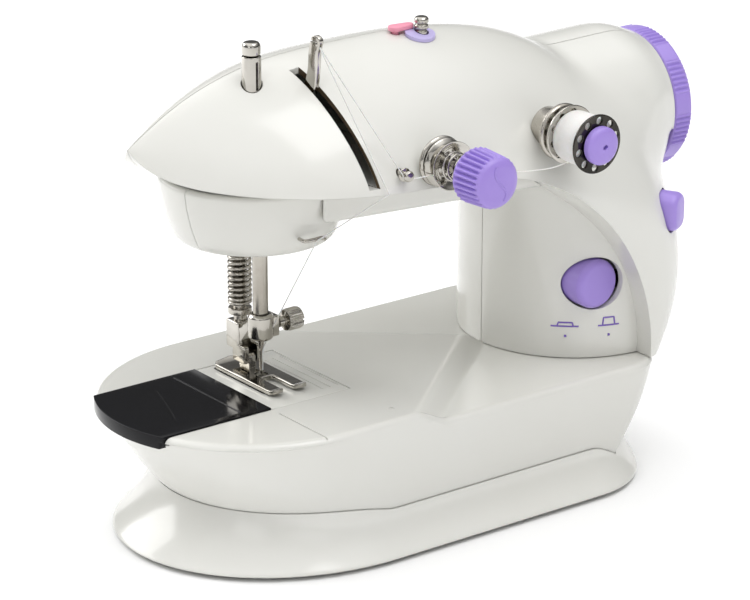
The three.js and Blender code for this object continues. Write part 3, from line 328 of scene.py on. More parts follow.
def pipe(name, path, radius, sides=12):
    """A round wire along a path of points; radius may vary along it."""
    path = np.asarray(path, float)
    radii = np.broadcast_to(np.asarray(radius, float), len(path))
    along = np.gradient(path, axis=0)
    along /= np.linalg.norm(along, axis=1)[:, None]
    side = np.cross(along[0], (0.31, 0.57, 0.76))
    angle = np.linspace(0, 2 * np.pi, sides, endpoint=False)
    rows = []
    for p, d, r in zip(path, along, radii):
        side = side - d * side.dot(d)
        side /= np.linalg.norm(side)
        up = np.cross(d, side)
        rows.append(p + r * (np.cos(angle)[:, None] * side + np.sin(angle)[:, None] * up))
    return skin(name, rows)


def joined(name, parts):
    """Several solids of one piece as one mesh."""
    work = bmesh.new()
    for part in parts:
        work.from_mesh(part.data)
    mesh = bpy.data.meshes.new(name)
    work.to_mesh(mesh)
    work.free()
    for part in parts:
        bpy.data.objects.remove(part)
    obj = bpy.data.objects.new(name, mesh)
    bpy.context.scene.collection.objects.link(obj)
    return obj


def dress(obj, name, material, angle=32):
    """Names, shades and paints a finished mesh; edges past the angle stay sharp."""
    obj.name = obj.data.name = name
    obj.data.shade_smooth()
    obj.data.set_sharp_from_angle(angle=math.radians(angle))
    obj.data.materials.clear()
    obj.data.materials.append(material)


def piece(obj, finish, name, node="", body="base", angle=32):
    """Dresses a finished piece, ties it to its body and hides the CAD node it replaces."""
    material, slot = finish
    dress(obj, name, material, angle)
    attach(obj, body)
    if node:
        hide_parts(node)


# ------------------------------------------------------------------ materials


def fill(tree, node, inputs):
    """Sets a node's inputs; a value that is another node's output is linked."""
    for name, value in inputs.items():
        if isinstance(value, bpy.types.NodeSocket):
            tree.links.new(value, node.inputs[name])
        else:
            node.inputs[name].default_value = value


def add_node(tree, kind, inputs=None, **values):
    node = tree.nodes.new(kind)
    for key, value in values.items():
        setattr(node, key, value)
    fill(tree, node, inputs or {})
    return node


class Paint:
    """A Principled material with a few helpers for its procedural detail."""

    def __init__(self, name, color, roughness, metallic=0.0):
        self.material = bpy.data.materials.new(name)
        self.material.use_nodes = True
        self.tree = self.material.node_tree
        self.shader = self.tree.nodes["Principled BSDF"]
        self.set(Base_Color=(*color, 1), Roughness=roughness, Metallic=metallic)
        self.color = color
        self.coordinates = self.add("ShaderNodeTexCoord").outputs["Object"]
        self.normal = None

    def add(self, kind, inputs=None, **values):
        return add_node(self.tree, kind, inputs, **values)

    def set(self, **inputs):
        fill(self.tree, self.shader, {name.replace("_", " "): v for name, v in inputs.items()})

    def texture(self, kind, inputs, stretch=(1, 1, 1), **values):
        """A texture in the object's own coordinates."""
        place = self.add("ShaderNodeMapping", {"Scale": stretch, "Vector": self.coordinates})
        inputs["Vector"] = place.outputs["Vector"]
        return self.add(kind, inputs, **values).outputs["Fac"]

    def noise(self, scale, detail=3.0, stretch=(1, 1, 1), rough=0.5):
        inputs = {"Scale": scale, "Detail": detail, "Roughness": rough}
        return self.texture("ShaderNodeTexNoise", inputs, stretch)

    def vary_color(self, fac, other, start=0.35, end=0.7):
        ramp = self.add("ShaderNodeValToRGB", {"Fac": fac})
        for stop, at, color in zip(ramp.color_ramp.elements, (start, end), (self.color, other)):
            stop.position, stop.color = at, (*color, 1)
        self.set(Base_Color=ramp.outputs["Color"])

    def vary_roughness(self, fac, low, high):
        inputs = {"Value": fac, "From Min": 0.3, "From Max": 0.7, "To Min": low, "To Max": high}
        self.set(Roughness=self.add("ShaderNodeMapRange", inputs).outputs["Result"])

    def bump(self, fac, depth, strength):
        """Relief of the given depth in millimetres; calls stack."""
        inputs = {"Height": fac, "Distance": depth * MM, "Strength": strength}
        if self.normal is not None:
            inputs["Normal"] = self.normal
        self.use_normal(self.add("ShaderNodeBump", inputs))

    def round_edges(self, radius):
        """Catches the light along edges that are too small to model."""
        self.use_normal(self.add("ShaderNodeBevel", {"Radius": radius * MM}, samples=4))

    def use_normal(self, node):
        self.normal = node.outputs["Normal"]
        self.set(Normal=self.normal)


def moulded(slot, name, color, shadow, roughness, grain, edge, **inputs):
    """Injection-moulded plastic: faint flow marks, a fine grain and hand wear."""
    paint = Paint(name, color, roughness)
    paint.set(IOR=1.5, Coat_Roughness=0.08, **inputs)
    paint.round_edges(edge)
    paint.vary_color(paint.noise(14, 4), shadow)
    paint.vary_roughness(paint.noise(45, 5, rough=0.65), roughness * 0.8, roughness * 1.3)
    paint.bump(paint.noise(70, 2), 0.03, 0.4)
    paint.bump(paint.noise(2600, 2), grain, 0.6)
    return paint.material, slot


def plated(slot, name, color, tint, roughness, waviness):
    """Bright plating: soft waviness, fine polishing lines and handling haze."""
    paint = Paint(name, color, roughness, 1.0)
    paint.round_edges(0.18)
    paint.vary_color(paint.noise(60, 4), tint)
    paint.vary_roughness(paint.noise(180, 5, rough=0.7), roughness * 0.6, roughness * 1.9)
    paint.bump(paint.noise(160, 2), waviness, 0.5)
    paint.bump(paint.noise(900, 2, stretch=(1, 1, 0.08)), 0.004, 0.5)
    return paint.material, slot


def machined(name, color, tint, roughness):
    """Plain steel with turning marks and darker oil stains."""
    paint = Paint(name, color, roughness, 1.0)
    paint.set(Anisotropic=0.4)
    paint.round_edges(0.2)
    paint.vary_color(paint.noise(90, 5, rough=0.65), tint)
    paint.vary_roughness(paint.noise(240, 4), roughness * 0.7, roughness * 1.5)
    paint.bump(paint.noise(1500, 3, stretch=(0.05, 1, 1)), 0.01, 0.6)
    return paint.material


def rubbery(slot, name, color, dust):
    """Dull rubber with dust in its pores."""
    paint = Paint(name, color, 0.75)
    paint.set(Sheen_Weight=0.15, Sheen_Roughness=0.5)
    paint.vary_color(paint.noise(120, 5, rough=0.7), dust, 0.45, 0.75)
    paint.vary_roughness(paint.noise(300, 4), 0.62, 0.88)
    paint.bump(paint.noise(1800, 3), 0.02, 0.7)
    return paint.material, slot


def spun(slot, name, color, shadow, scale):
    """Spun thread: fine twisted fibres with a soft sheen."""
    paint = Paint(name, color, 0.7)
    paint.set(Sheen_Weight=0.35, Sheen_Roughness=0.4)
    paint.set(Subsurface_Weight=0.08, Subsurface_Scale=0.001)
    fibres = {"Scale": scale, "Distortion": 1.4, "Detail": 3, "Detail Scale": 2}
    wave = paint.texture("ShaderNodeTexWave", fibres, bands_direction="Y")
    paint.vary_color(wave, shadow, 0.2, 0.9)
    paint.vary_roughness(paint.noise(900, 3), 0.55, 0.85)
    paint.bump(wave, 0.12, 0.8)
    return paint.material, slot


WHITE = moulded(
    "white_shell", "white_plastic", (0.72, 0.718, 0.68), (0.70, 0.695, 0.652), 0.17, 0.004, 0.4,
    Coat_Weight=0.25,
)
# Dark brown for the slot walls: painted shade standing in for the shade inside the narrow slot.
SLOT_SHADE = moulded(
    "white_shell", "slot_painted_shade", (0.10, 0.065, 0.032), (0.06, 0.04, 0.02), 0.4, 0.01, 0.2
)
BLACK = moulded(
    "black_plate", "black_gloss_plastic", (0.002, 0.002, 0.003), (0.004, 0.004, 0.006), 0.10,
    0.002, 0.25, Specular_IOR_Level=0.22,
)
PURPLE = moulded(
    "purple_controls", "purple_plastic", (0.36, 0.255, 0.69), (0.325, 0.225, 0.645), 0.34, 0.012,
    0.25,
)
MARK = moulded(
    "purple_controls", "printed_mark", (0.20, 0.13, 0.50), (0.18, 0.11, 0.45), 0.5, 0.01, 0.05
)
LAVENDER = moulded(
    "lavender_plate", "lavender_plastic", (0.55, 0.49, 0.80), (0.50, 0.44, 0.74), 0.34, 0.01, 0.2
)
PINK = moulded("pink_stop", "pink_plastic", (0.84, 0.33, 0.44), (0.78, 0.28, 0.38), 0.36, 0.01, 0.2)
GREY = moulded(
    "grey_lever", "grey_plastic", (0.60, 0.60, 0.58), (0.54, 0.54, 0.52), 0.36, 0.012, 0.25
)
CHROME = plated(
    "chrome_fittings", "bright_chrome", (0.56, 0.54, 0.50), (0.36, 0.34, 0.30), 0.08, 0.05
)
# Near-black chrome for the bobbin's front flange: a painted dark reflection on plating that matches
# the rear flange.
CHROME_PAINTED_DARK = plated(
    "chrome_fittings", "painted_reflection_chrome", (0.035, 0.033, 0.03), (0.12, 0.112, 0.10), 0.1, 0.06
)
NICKEL = plated(
    "plain_steel", "nickel_plate", (0.50, 0.475, 0.43), (0.33, 0.305, 0.265), 0.17, 0.05
)
STEEL = machined("plain_steel", (0.40, 0.39, 0.37), (0.26, 0.25, 0.23), 0.32)
RUBBER = rubbery("black_rubber", "black_rubber", (0.018, 0.018, 0.019), (0.05, 0.048, 0.045))
THREAD = spun("white_thread", "wound_thread", (0.80, 0.79, 0.76), (0.90, 0.89, 0.87), 900)
STRAND = spun("white_thread", "thread_strand", (0.82, 0.81, 0.78), (0.92, 0.91, 0.89), 1800)

# ------------------------------------------------------------------ arm and column


def spline(values):
    """Natural cubic spline through values at whole-number stations."""
    values = np.asarray(values, float)
    count = len(values)
    system, right = np.eye(count), np.zeros(count)
    for i in range(1, count - 1):
        system[i, i - 1 : i + 2] = 1, 4, 1
        right[i] = 6 * (values[i + 1] - 2 * values[i] + values[i - 1])
    bend = np.linalg.solve(system, right)

    def at(t):
        i = np.minimum(count - 2, np.floor(t).astype(int))
        f = t - i
        g = 1 - f
        straight = g * values[i] + f * values[i + 1]
        return straight + ((g**3 - g) * bend[i] + (f**3 - f) * bend[i + 1]) / 6

    return at


def smoothstep(t, low, high):
    s = np.clip((t - low) / (high - low), 0, 1)
    return s * s * (3 - 2 * s)


def arch_point(degrees):
    a = math.radians(degrees)
    return (THROAT["rx"] * math.sin(a), FRONT_Y, THROAT["z"] + THROAT["rz"] * math.cos(a))


def crest_point(degrees, radius):
    a = math.radians(degrees)
    return (radius * math.sin(a), THROAT["z"] + radius * math.cos(a))


EDGE_KNOTS = [NOSE, *HEAD_EDGE, *map(arch_point, ARCH_DEG)]
CREST_KNOTS = [(NOSE[0], NOSE[2]), *(crest_point(*knot) for knot in CREST)]
EDGE = [spline([p[axis] for p in EDGE_KNOTS]) for axis in range(3)]
CREST_LINE = [spline([p[axis] for p in CREST_KNOTS]) for axis in range(2)]
LAST = len(CREST_KNOTS) - 1


def dome_points(t, v, side, grow=0.0):
    """Points of the dome between its crest (v = 0) and its front edge (v = 1)."""
    t, v = np.broadcast_arrays(np.asarray(t, float), np.asarray(v, float))
    share = smoothstep(t, *SECTION_BLEND)
    h1, h2, h3 = (a + (b - a) * share for a, b in zip(ARM_SECTION, COLUMN_SECTION))
    w = 1 - v
    across = 3 * w * w * v * h1 + 3 * w * v * v * h2 + v**3
    down = 3 * w * v * v * h3 + v**3
    crest = [line(t) for line in CREST_LINE]
    edge = [line(t) for line in EDGE]
    span = np.hypot(crest[0] - edge[0], crest[1] - edge[2])
    span = np.where(span < 1e-9, 1, span)
    out = ((crest[0] - edge[0]) / span, (crest[1] - edge[2]) / span)
    crest_x, crest_z = crest[0] + grow * out[0], crest[1] + grow * out[1]
    edge_x, edge_z = edge[0] - grow * out[0], edge[2] - grow * out[1]
    depth = SEAM_Y - edge[1] + grow
    x = crest_x + (edge_x - crest_x) * down
    z = crest_z + (edge_z - crest_z) * down
    return np.stack([x, SEAM_Y - side * depth * across, z], -1)


def dome(name, grow, start, stations, steps):
    near = np.linspace(1, 0, steps + 1)
    far = np.linspace(0, 1, steps + 1)[1:]
    rows = []
    for t in np.linspace(start, LAST, stations + 1):
        rows.append(np.vstack([dome_points(t, near, 1, grow), dome_points(t, far, -1, grow)]))
    return skin(name, rows)


def half_column(name, radius, low, high, segments):
    """Left half of the round column, kept within the throat's arch."""
    column = rod(name, radius, low, high, "z", (COLUMN["x"], SEAM_Y, 0), segments)
    left = block("left", (COLUMN["x"] - 60, -80, low - 1), (COLUMN["x"] + 1, 80, high + 1))
    angle = np.linspace(0, 2 * np.pi, 160, endpoint=False)
    rx, rz = THROAT["rx"] + 3, THROAT["rz"] + 3
    arch = np.stack([rx * np.cos(angle), THROAT["z"] + rz * np.sin(angle)], -1)
    return carve(column, [(KEEP, left), (KEEP, slab("arch", arch, -60, 60, "y"))])


def housing(name, inset, reach, segments, spacing):
    """Round housing of the wheel, smooth along its length."""
    h = HOUSING
    outline = rounded(
        [
            (h["r0"] - inset, h["x0"]),
            (h["r1"] - inset, h["x1"] - 5),
            (h["r1"] - inset - 0.5, h["x1"]),
            (h["r1"] - inset - 1.8, h["x1"] + 4),
            (h["r2"] - inset + 0.7, h["x2"] - reach - 2),
            (h["r2"] - inset, h["x2"] - reach),
        ],
        3.0,
    )
    radii, heights = np.array(outline).T
    fine = np.arange(heights[0], heights[-1], spacing)
    fine = np.append(fine, heights[-1])
    profile = [(0, fine[0]), *zip(np.interp(fine, heights, radii), fine), (0, fine[-1])]
    return lathe(name, profile, "x", (0, DRIVE_Y, SHAFT_Z), segments)


def tree_of(obj):
    points = [v.co.copy() for v in obj.data.vertices]
    faces = [tuple(p.vertices) for p in obj.data.polygons]
    normals = [v.normal.copy() for v in obj.data.vertices]
    return BVHTree.FromPolygons(points, faces), points, faces, normals


def signed(tree, at):
    """Signed distance and smooth outward direction of a closed skin at a point."""
    surface, points, faces, normals = tree
    found, flat, index, distance = surface.find_nearest(at)
    direction = Vector((0, 0, 0))
    for corner in faces[index]:
        direction += normals[corner] / ((points[corner] - found).length_squared + 1e-8)
    direction.normalize()
    sign = 1 if (at - found).dot(flat) >= 0 else -1
    return sign * distance, direction


def fillet(obj, first, second, reach):
    """Moves the skin along the joint of two shapes onto a smooth blend of them."""
    work = bmesh.new()
    work.from_mesh(obj.data)
    band = []
    for vertex in work.verts:
        k = reach(vertex.co) * MM
        if k == 0 or abs(signed(second, vertex.co)[0]) > k or abs(signed(first, vertex.co)[0]) > k:
            continue
        band.append(vertex)
        for _ in range(3):
            a, na = signed(first, vertex.co)
            b, nb = signed(second, vertex.co)
            share = max(k - abs(a - b), 0) / k
            value = min(a, b) - share * share * k / 4
            mix = share / 2
            push = na * (1 - mix) + nb * mix if a < b else nb * (1 - mix) + na * mix
            vertex.co -= push * value / max(push.length_squared, 0.2)
    for _ in range(6):
        bmesh.ops.smooth_vert(
            work, verts=band, factor=0.5, use_axis_x=True, use_axis_y=True, use_axis_z=True
        )
    work.to_mesh(obj.data)
    work.free()


def housing_reach(at):
    """The joint is crisp on top and melts away towards the lower front."""
    x, y, z = at.x / MM - SHIFT[0], at.y / MM - SHIFT[1], at.z / MM
    if math.hypot(x / THROAT["rx"], (z - THROAT["z"]) / THROAT["rz"]) < 1.03:
        return 0.0
    angle = math.degrees(math.atan2(z - SHAFT_Z, abs(y - DRIVE_Y) + 1e-6))
    return float(13 - 10 * smoothstep(angle, -5, 62))


def lever_slab(name, width, y_from, y_to, low, high):
    """Thin slab in which the take-up lever swings, leaning with the head."""
    at = lambda y: SLOT["x"] - SLOT["lean"] * (y - FRONT_Y)
    half = width / 2
    outline = [
        (at(y_from) - half, y_from),
        (at(y_from) + half, y_from),
        (at(y_to) + half, y_to),
        (at(y_to) - half, y_to),
    ]
    return slab(name, outline, low, high)


def power_block(name, grow, low, high, bevel=0.0):
    """Rounded bar of the power button, along its own slanted direction."""
    r = POWER["corner"]
    w, h = POWER["half"][0] + grow - r, POWER["half"][1] + grow - r
    corners = ((w, h), (-w, h), (-w, -h), (w, -h))
    outline = arcs(*[(at, r, 90 * i) for i, at in enumerate(corners)], steps=9, sweep=90)
    a = math.radians(POWER["turn"])
    side, along = np.array([math.sin(a), math.cos(a)]), np.array([math.cos(a), -math.sin(a)])
    levels = [(low, 1.0)]
    if bevel:
        for k in range(7):
            s = math.pi / 2 * k / 6
            levels.append((high - bevel + bevel * math.sin(s), 1 - 0.28 * (1 - math.cos(s))))
        levels.append((high + 0.25, 0.35))
    else:
        levels.append((high, 1.0))
    rows = []
    for reach, size in levels:
        loop = []
        for u, v in outline:
            x, y = np.array([POWER["x"], POWER["y"]]) + side * u * size + along * reach
            loop.append((x, y, POWER["z"] + v * size))
        rows.append(np.array(loop))
    return skin(name, rows)


def shells():
    outer = dome("outer", 0, 0, 230, 52)
    barrel = housing("barrel", 0, 0, 180, 1.2)
    first, second = tree_of(outer), tree_of(barrel)
    plus(outer, barrel)
    fillet(outer, first, second, housing_reach)
    column = half_column("column", COLUMN["r"], LOW_DECK_Z, COLUMN["top"], 180)
    steps = [
        (ADD, column),
        (CUT, dome("hollow", -WALL, 1.1, 60, 14)),
        (CUT, half_column("well", COLUMN["r"] - WALL, LOW_DECK_Z - 5, COLUMN["top"] - WALL, 90)),
        (CUT, housing("bore", WALL, WALL, 90, 4.0)),
        (CUT, block("arm_opening", *ARM_OPENING)),
        (CUT, rod("head_floor", 27, 110, 130, "z", (CUP["x"], CUP["y"], 0), 72)),
        (CUT, rod("shaft_hole", 2.7, 100, 120, "x", (0, DRIVE_Y, SHAFT_Z), 32)),
        (KEEP, region("above", z0=LOW_DECK_Z + GAP)),
    ]
    carve(outer, steps)
    rear = copy(outer, "rear")
    front = outer
    holes = [
        lever_slab("slot", SLOT["width"], FRONT_Y - 5, SLOT["top"], 122.6, 170),
        rod("tension_hole", 2.6, 20, 60, "-y", (TENSION["x"], 0, TENSION["z"])),
        rod("bobbin_hole", 2.9, 20, 60, "-y", (BOBBIN["x"], 0, BOBBIN["z"])),
        rod("guide_hole", 1.3, 20, 60, "-y", (GUIDE[0], 0, GUIDE[1])),
        rod("speed_hole", SPEED["r"] + 0.7, 10, 60, "-y", (SPEED["x"], 0, SPEED["z"]), 72),
        rod("spool_hole", 3.4, 140, 170, "z", (SPOOL[0], SPOOL[1], 0), 40),
        rod("winder_hole", 2.5, 140, 170, "z", (WINDER[0], WINDER[1], 0), 40),
        rod("stop_hole", 1.5, 140, 170, "z", (STOP[0], STOP[1], 0)),
        power_block("power_hole", 0.5, -20, 20),
        *[rod("jack_hole", JACKS["r"] + GAP, 80, 130, "x", (0, JACKS["y"], z)) for z in JACKS["z"]],
    ]
    only(front, region("front_half", y1=SEAM_Y - GAP / 2))
    less(front, *holes)
    only(rear, region("rear_half", y0=SEAM_Y + GAP / 2))
    (x0, y0, z0), (x1, y1, z1) = VENT
    rises = [VENT_PITCH * i for i in range(4)]
    less(rear, *[block("vent", (x0, y0, z0 + up), (x1, y1, z1 + up)) for up in rises])
    piece(front, WHITE, "front_case", "front_shell", angle=13)
    piece(rear, WHITE, "rear_case", "rear_shell", angle=13)
    paint_slot_shade(front)
    return front


def paint_slot_shade(front):
    """The walls of the lever's slot are painted dark brown: painted shade for the inside of the
    narrow slot.
    """
    front.data.materials.append(SLOT_SHADE[0])
    for face in front.data.polygons:
        x, y, z = face.center.x / MM - SHIFT[0], face.center.y / MM - SHIFT[1], face.center.z / MM
        lean = SLOT["x"] - SLOT["lean"] * (y - FRONT_Y)
        inside = abs(x - lean) < SLOT["width"] / 2 + 0.05 and y < SLOT["top"] + 0.1 and z > 121
        if inside and abs(face.normal.z) < 0.4 and abs(face.normal.x) > 0.6:
            face.material_index = 1


def surface_at(x, z):
    """Front of the case at a drawing place, as (point, outward normal) in the frame."""
    start = Vector(to_frame([(x, -90, z)])[0])
    return CASE_TREE.ray_cast(start, Vector((0, 1, 0)))[:2]


CASE = shells()
CASE_TREES = tree_of(CASE)
CASE_TREE = CASE_TREES[0]


def arm_beam():
    """Long cover under the arm, with a softened lower edge."""
    left, right = (-40.0, 107.6), (52.0, 102.4)

    def trough(name, inset, lift):
        outline = [
            (left[0] - inset, left[1] + lift),
            (right[0] + inset, right[1] + lift),
            (right[0] + inset, 125),
            (left[0] - inset, 125),
        ]
        half = 25.5 - inset
        return slab(name, outline, SEAM_Y - half, SEAM_Y + half, "y")

    beam = soften(trough("beam", 0, 0), 2.4, 5)
    carve(
        beam,
        [
            (CUT, trough("inside", WALL, WALL)),
            (CUT, trough("inside_top", WALL, 12)),
            (CUT, rod("cup_room", CUP["r"] + GAP, 90, 119.5, "z", (CUP["x"], CUP["y"], 0), 96)),
            (CUT, dome("dome_room", GAP, 0, 120, 30)),
            (
                CUT,
                rod("column_room", COLUMN["r"] + GAP, 42, 114, "z", (COLUMN["x"], SEAM_Y, 0), 96),
            ),
        ],
    )
    piece(beam, WHITE, "arm_cover", "arm_beam")


def cups():
    """Cup round the needle bar: two halves with a stepped lower edge."""
    x, y, r, bottom, top = CUP["x"], CUP["y"], CUP["r"], CUP["bottom"], CUP["top"]
    outside = [
        (0, bottom), (r - 8.5, bottom), (r - 6, bottom + 0.6), (r - 4.6, bottom + 2.4),
        (r - 2.2, bottom + 9), (r - 0.6, bottom + 16), (r, top), (0, top),
    ]
    inside = [
        (0, bottom + 2), (r - 8.2, bottom + 2), (r - 6.8, bottom + 3),
        (r - 4.2, bottom + 9.6), (r - 2.2, top + 1), (0, top + 1),
    ]
    cup = lathe("cup", rounded(outside, 1.8, 5), "z", (x, y, 0), 160)
    less(
        cup,
        lathe("cup_inside", inside, "z", (x, y, 0), 96),
        block("shaft_pass", (x, DRIVE_Y - 3.5, SHAFT_Z - 3.5), (x + 40, DRIVE_Y + 3.5, top + 1)),
        rod("needle_pass", 3.1, bottom - 1, bottom + 4, "z", (NEEDLE_X, DRIVE_Y, 0), 40),
        rod("presser_pass", 4.6, bottom - 1, bottom + 4, "z", (PRESSER_X, PRESSER_Y, 0), 40),
        rod("lifter_pass", 3.4, 20, 60, "y", (-31, 0, 107), 40),
        dome("dome_room", GAP, 0, 120, 30),
    )
    rear = copy(cup, "cup_back")
    only(cup, region("near", y1=SEAM_Y - CUP["seam"]))
    only(rear, region("far", y0=SEAM_Y + CUP["seam"]))
    piece(cup, WHITE, "head_cup_front", "cup_front")
    piece(rear, WHITE, "head_cup_rear", "cup_rear")


# ------------------------------------------------------------------ bed and stand

ARC, SIDE = 150, 90


def boat(left, bow, right, stern, front, rear, blunt):
    """Boat-like outline with even spacing; arguments may be arrays along it."""
    dense = np.radians(np.linspace(-90, 90, 4001))
    c, s = np.cos(dense) ** (2 / 3), np.sign(np.sin(dense)) * np.abs(np.sin(dense)) ** (2 / 3)
    length = np.concatenate([[0], np.cumsum(np.hypot(np.diff(24 * c), np.diff(50 * s)))])
    pick = np.interp(np.linspace(0, length[-1], ARC), length, dense)
    power = 2 / blunt
    stern_c = np.clip(np.cos(pick), 0, 1) ** power
    stern_s = np.sign(np.sin(pick)) * np.abs(np.sin(pick)) ** power
    bow_a = np.radians(np.linspace(90, 270, ARC))
    run = np.linspace(0, 1, SIDE + 2)[1:-1]
    u = np.concatenate([stern_c, 0 * run, np.cos(bow_a), 0 * run])
    v = np.concatenate([stern_s, np.ones(SIDE), np.sin(bow_a), -np.ones(SIDE)])
    along = np.concatenate([np.zeros(ARC), run, np.ones(ARC), 1 - run])
    middle = stern + (bow - stern) * along
    x = middle + np.where(u > 0, (right - stern) * u, (bow - left) * u)
    y = np.where(v > 0, rear * v, -front * v)
    return x, y


def hull_outline(z, inset):
    """Outline of the hull at a height; it narrows from the deck down to the keel."""
    rake = np.clip((DECK_Z - np.asarray(z, float)) / (DECK_Z - HULL["keel"]), 0, 1)
    return boat(
        HULL["left"] + HULL["bow_rake"] * rake + HULL["bow_tuck"] * rake**8 + inset,
        HULL["bow"] + HULL["rake"] * rake,
        HULL["right"] - HULL["rake"] * rake ** HULL["stern_curve"] - inset,
        HULL["stern"],
        HULL["front"] + HULL["side_rake"] * rake + HULL["side_tuck"] * rake**3 + inset,
        HULL["rear"] - HULL["side_rake"] * rake - HULL["side_tuck"] * rake**3 - inset,
        HULL["blunt"],
    )


def hull(name, inset, low, high, levels):
    rows = []
    for z in np.linspace(low, high, levels + 1):
        x, y = hull_outline(z, inset)
        rows.append(np.stack([x, y, np.full(len(x), z)], -1))
    return skin(name, rows)


def deck_height(x, y):
    """Height of the deck: level, with a V-shaped step down in front of the column."""
    dx, dy = RAMP["dir"]
    length = math.hypot(dx, dy)
    across = np.abs(y - SEAM_Y)
    near = (x - RAMP["high"][0]) * dy - (-across - (RAMP["high"][1] - SEAM_Y)) * dx
    return DECK_Z - (DECK_Z - LOW_DECK_Z) * smoothstep(near / length, -0.8, RAMP["run"] + 0.8)


def bed():
    """Hull and deck in one skin: sides, a rounded rim, and rings across the deck."""
    rim, centre = 2.2, np.array([74.0, SEAM_Y])
    x, y = hull_outline(DECK_Z, rim)
    top = deck_height(x, y)
    rows = []
    for share in np.linspace(0, 1, 26):
        z = 10 + (top - rim - 10) * share
        x, y = hull_outline(z, 0)
        rows.append(np.stack([x, y, z], -1))
    for a in np.linspace(0, math.pi / 2, 8)[1:]:
        x, y = hull_outline(top, rim * (1 - math.cos(a)))
        rows.append(np.stack([x, y, top - rim * (1 - math.sin(a))], -1))
    edge = rows[-1][:, :2]
    for share in np.linspace(1, 0.01, 120)[1:]:
        spot = centre + (edge - centre) * share
        rows.append(np.column_stack([spot, deck_height(*spot.T)]))
    body = skin("bed", rows)
    lip, seat = 1.6, DECK_Z - 2.8
    y0, y1, split, x1 = BAY["y0"], BAY["y1"], BAY["split"], BAY["x1"]
    ledge = block("ledge", (-88, y0 - lip, seat - 2.2), (x1 + lip, y1 + lip, DECK_Z - 3.5))
    steps = [
        (CUT, hull("inside", WALL, 9, LOW_DECK_Z - WALL, 8)),
        (ADD, ledge),
        (CUT, block("recess", (-120, y0, seat), (x1, y1, DECK_Z + 5))),
        (CUT, block("bay", (-76, y0 + lip, 20), (x1 - lip, y1 - lip, DECK_Z))),
        (CUT, rod("wiring", 19, 30, 60, "z", (COLUMN["x"] - 17, DRIVE_Y, 0), 64)),
        (ADD, block("brace", (split - 1, y0 - 1, seat - 2), (split + 1, y1 + 1, seat))),
        (
            CUT,
            block("seam_cut", (split - 0.2, -60, DECK_Z - 0.7), (split + 0.2, y0 - 4, DECK_Z + 1)),
        ),
        (CUT, rod("witness_mark", 0.8, DECK_Z - 0.3, DECK_Z + 1, "z", (x1, -41, 0), 24)),
    ]
    carve(body, steps)
    piece(body, WHITE, "bed_hull", "bed_body", angle=28)


def stand_outline(z, inset):
    """Outline of the stand at a height; it flares out towards the floor."""
    lift = max(z, STAND["foot"]) - STAND["foot"]
    rises = STAND["end_rise"], STAND["side_rise"]
    ends, sides = (1 - (1 - min(1, lift / rise)) ** STAND["flare"] for rise in rises)
    return boat(
        STAND["left"] + STAND["left_flare"] * ends + inset,
        STAND["bow"],
        STAND["right"] - STAND["right_flare"] * ends - inset,
        STAND["stern"],
        STAND["front"] + STAND["side_flare"] * sides + inset,
        STAND["rear"] - STAND["side_flare"] * sides - inset,
        STAND["blunt"],
    )


def stand():
    def skirt(name, inset, heights, roll=0.0):
        rows = []
        for z in heights:
            tuck = 0.0
            if roll and z < STAND["foot"] + roll:
                s = 1 - (z - STAND["foot"]) / roll
                tuck = roll * 0.7 * (1 - math.sqrt(max(0, 1 - s * s)))
            x, y = stand_outline(z, inset + tuck)
            rows.append(np.stack([x, y, np.full(len(x), z)], -1))
        return skin(name, rows)

    foot = STAND["foot"]
    roll = 1.4
    low, high = np.linspace(foot, foot + roll, 6), np.linspace(foot + 2, STAND["top"], 40)
    body = skirt("stand", 0, np.concatenate([low, high]), roll)
    inside = skirt("stand_inside", 2.4, np.linspace(0, STAND["top"] + 1, 20))
    less(body, inside, hull("hull_room", -GAP, 9.7, DECK_Z, 12))
    piece(body, WHITE, "stand_skirt", "stand", angle=28)


def plates():
    y0, y1, split, x1 = BAY["y0"], BAY["y1"], BAY["split"], BAY["x1"]
    plate = block("plate", (split + 0.15, y0 + GAP, DECK_Z - 2.5), (x1 - GAP, y1 - GAP, DECK_Z))
    soften(plate, 0.35, 3)
    cuts = []
    for dx in (-5, 5):
        x, y = NEEDLE_X + dx, DRIVE_Y + 3
        outline = arcs(((x, y + 13.4), 1.8, 0), ((x, y - 13.4), 1.8, 180), steps=13)
        cuts.append(slab("feed_slot", outline, 40, 50))
    hole = [(0, 40), (1.4, 40), (1.4, 46.6), (2.1, 47.4), (2.1, 50), (0, 50)]
    cuts.append(lathe("hole", hole, "z", (NEEDLE_X, DRIVE_Y, 0)))
    for reach in (11, 14, 17):
        x = NEEDLE_X + reach
        cuts.append(
            block("guide_line", (x - 0.18, y0 + 5, DECK_Z - 0.35), (x + 0.18, y1 - 6, DECK_Z + 1))
        )
    less(plate, *cuts)
    piece(plate, WHITE, "stitch_plate", "needle_plate")
    slide_plate()


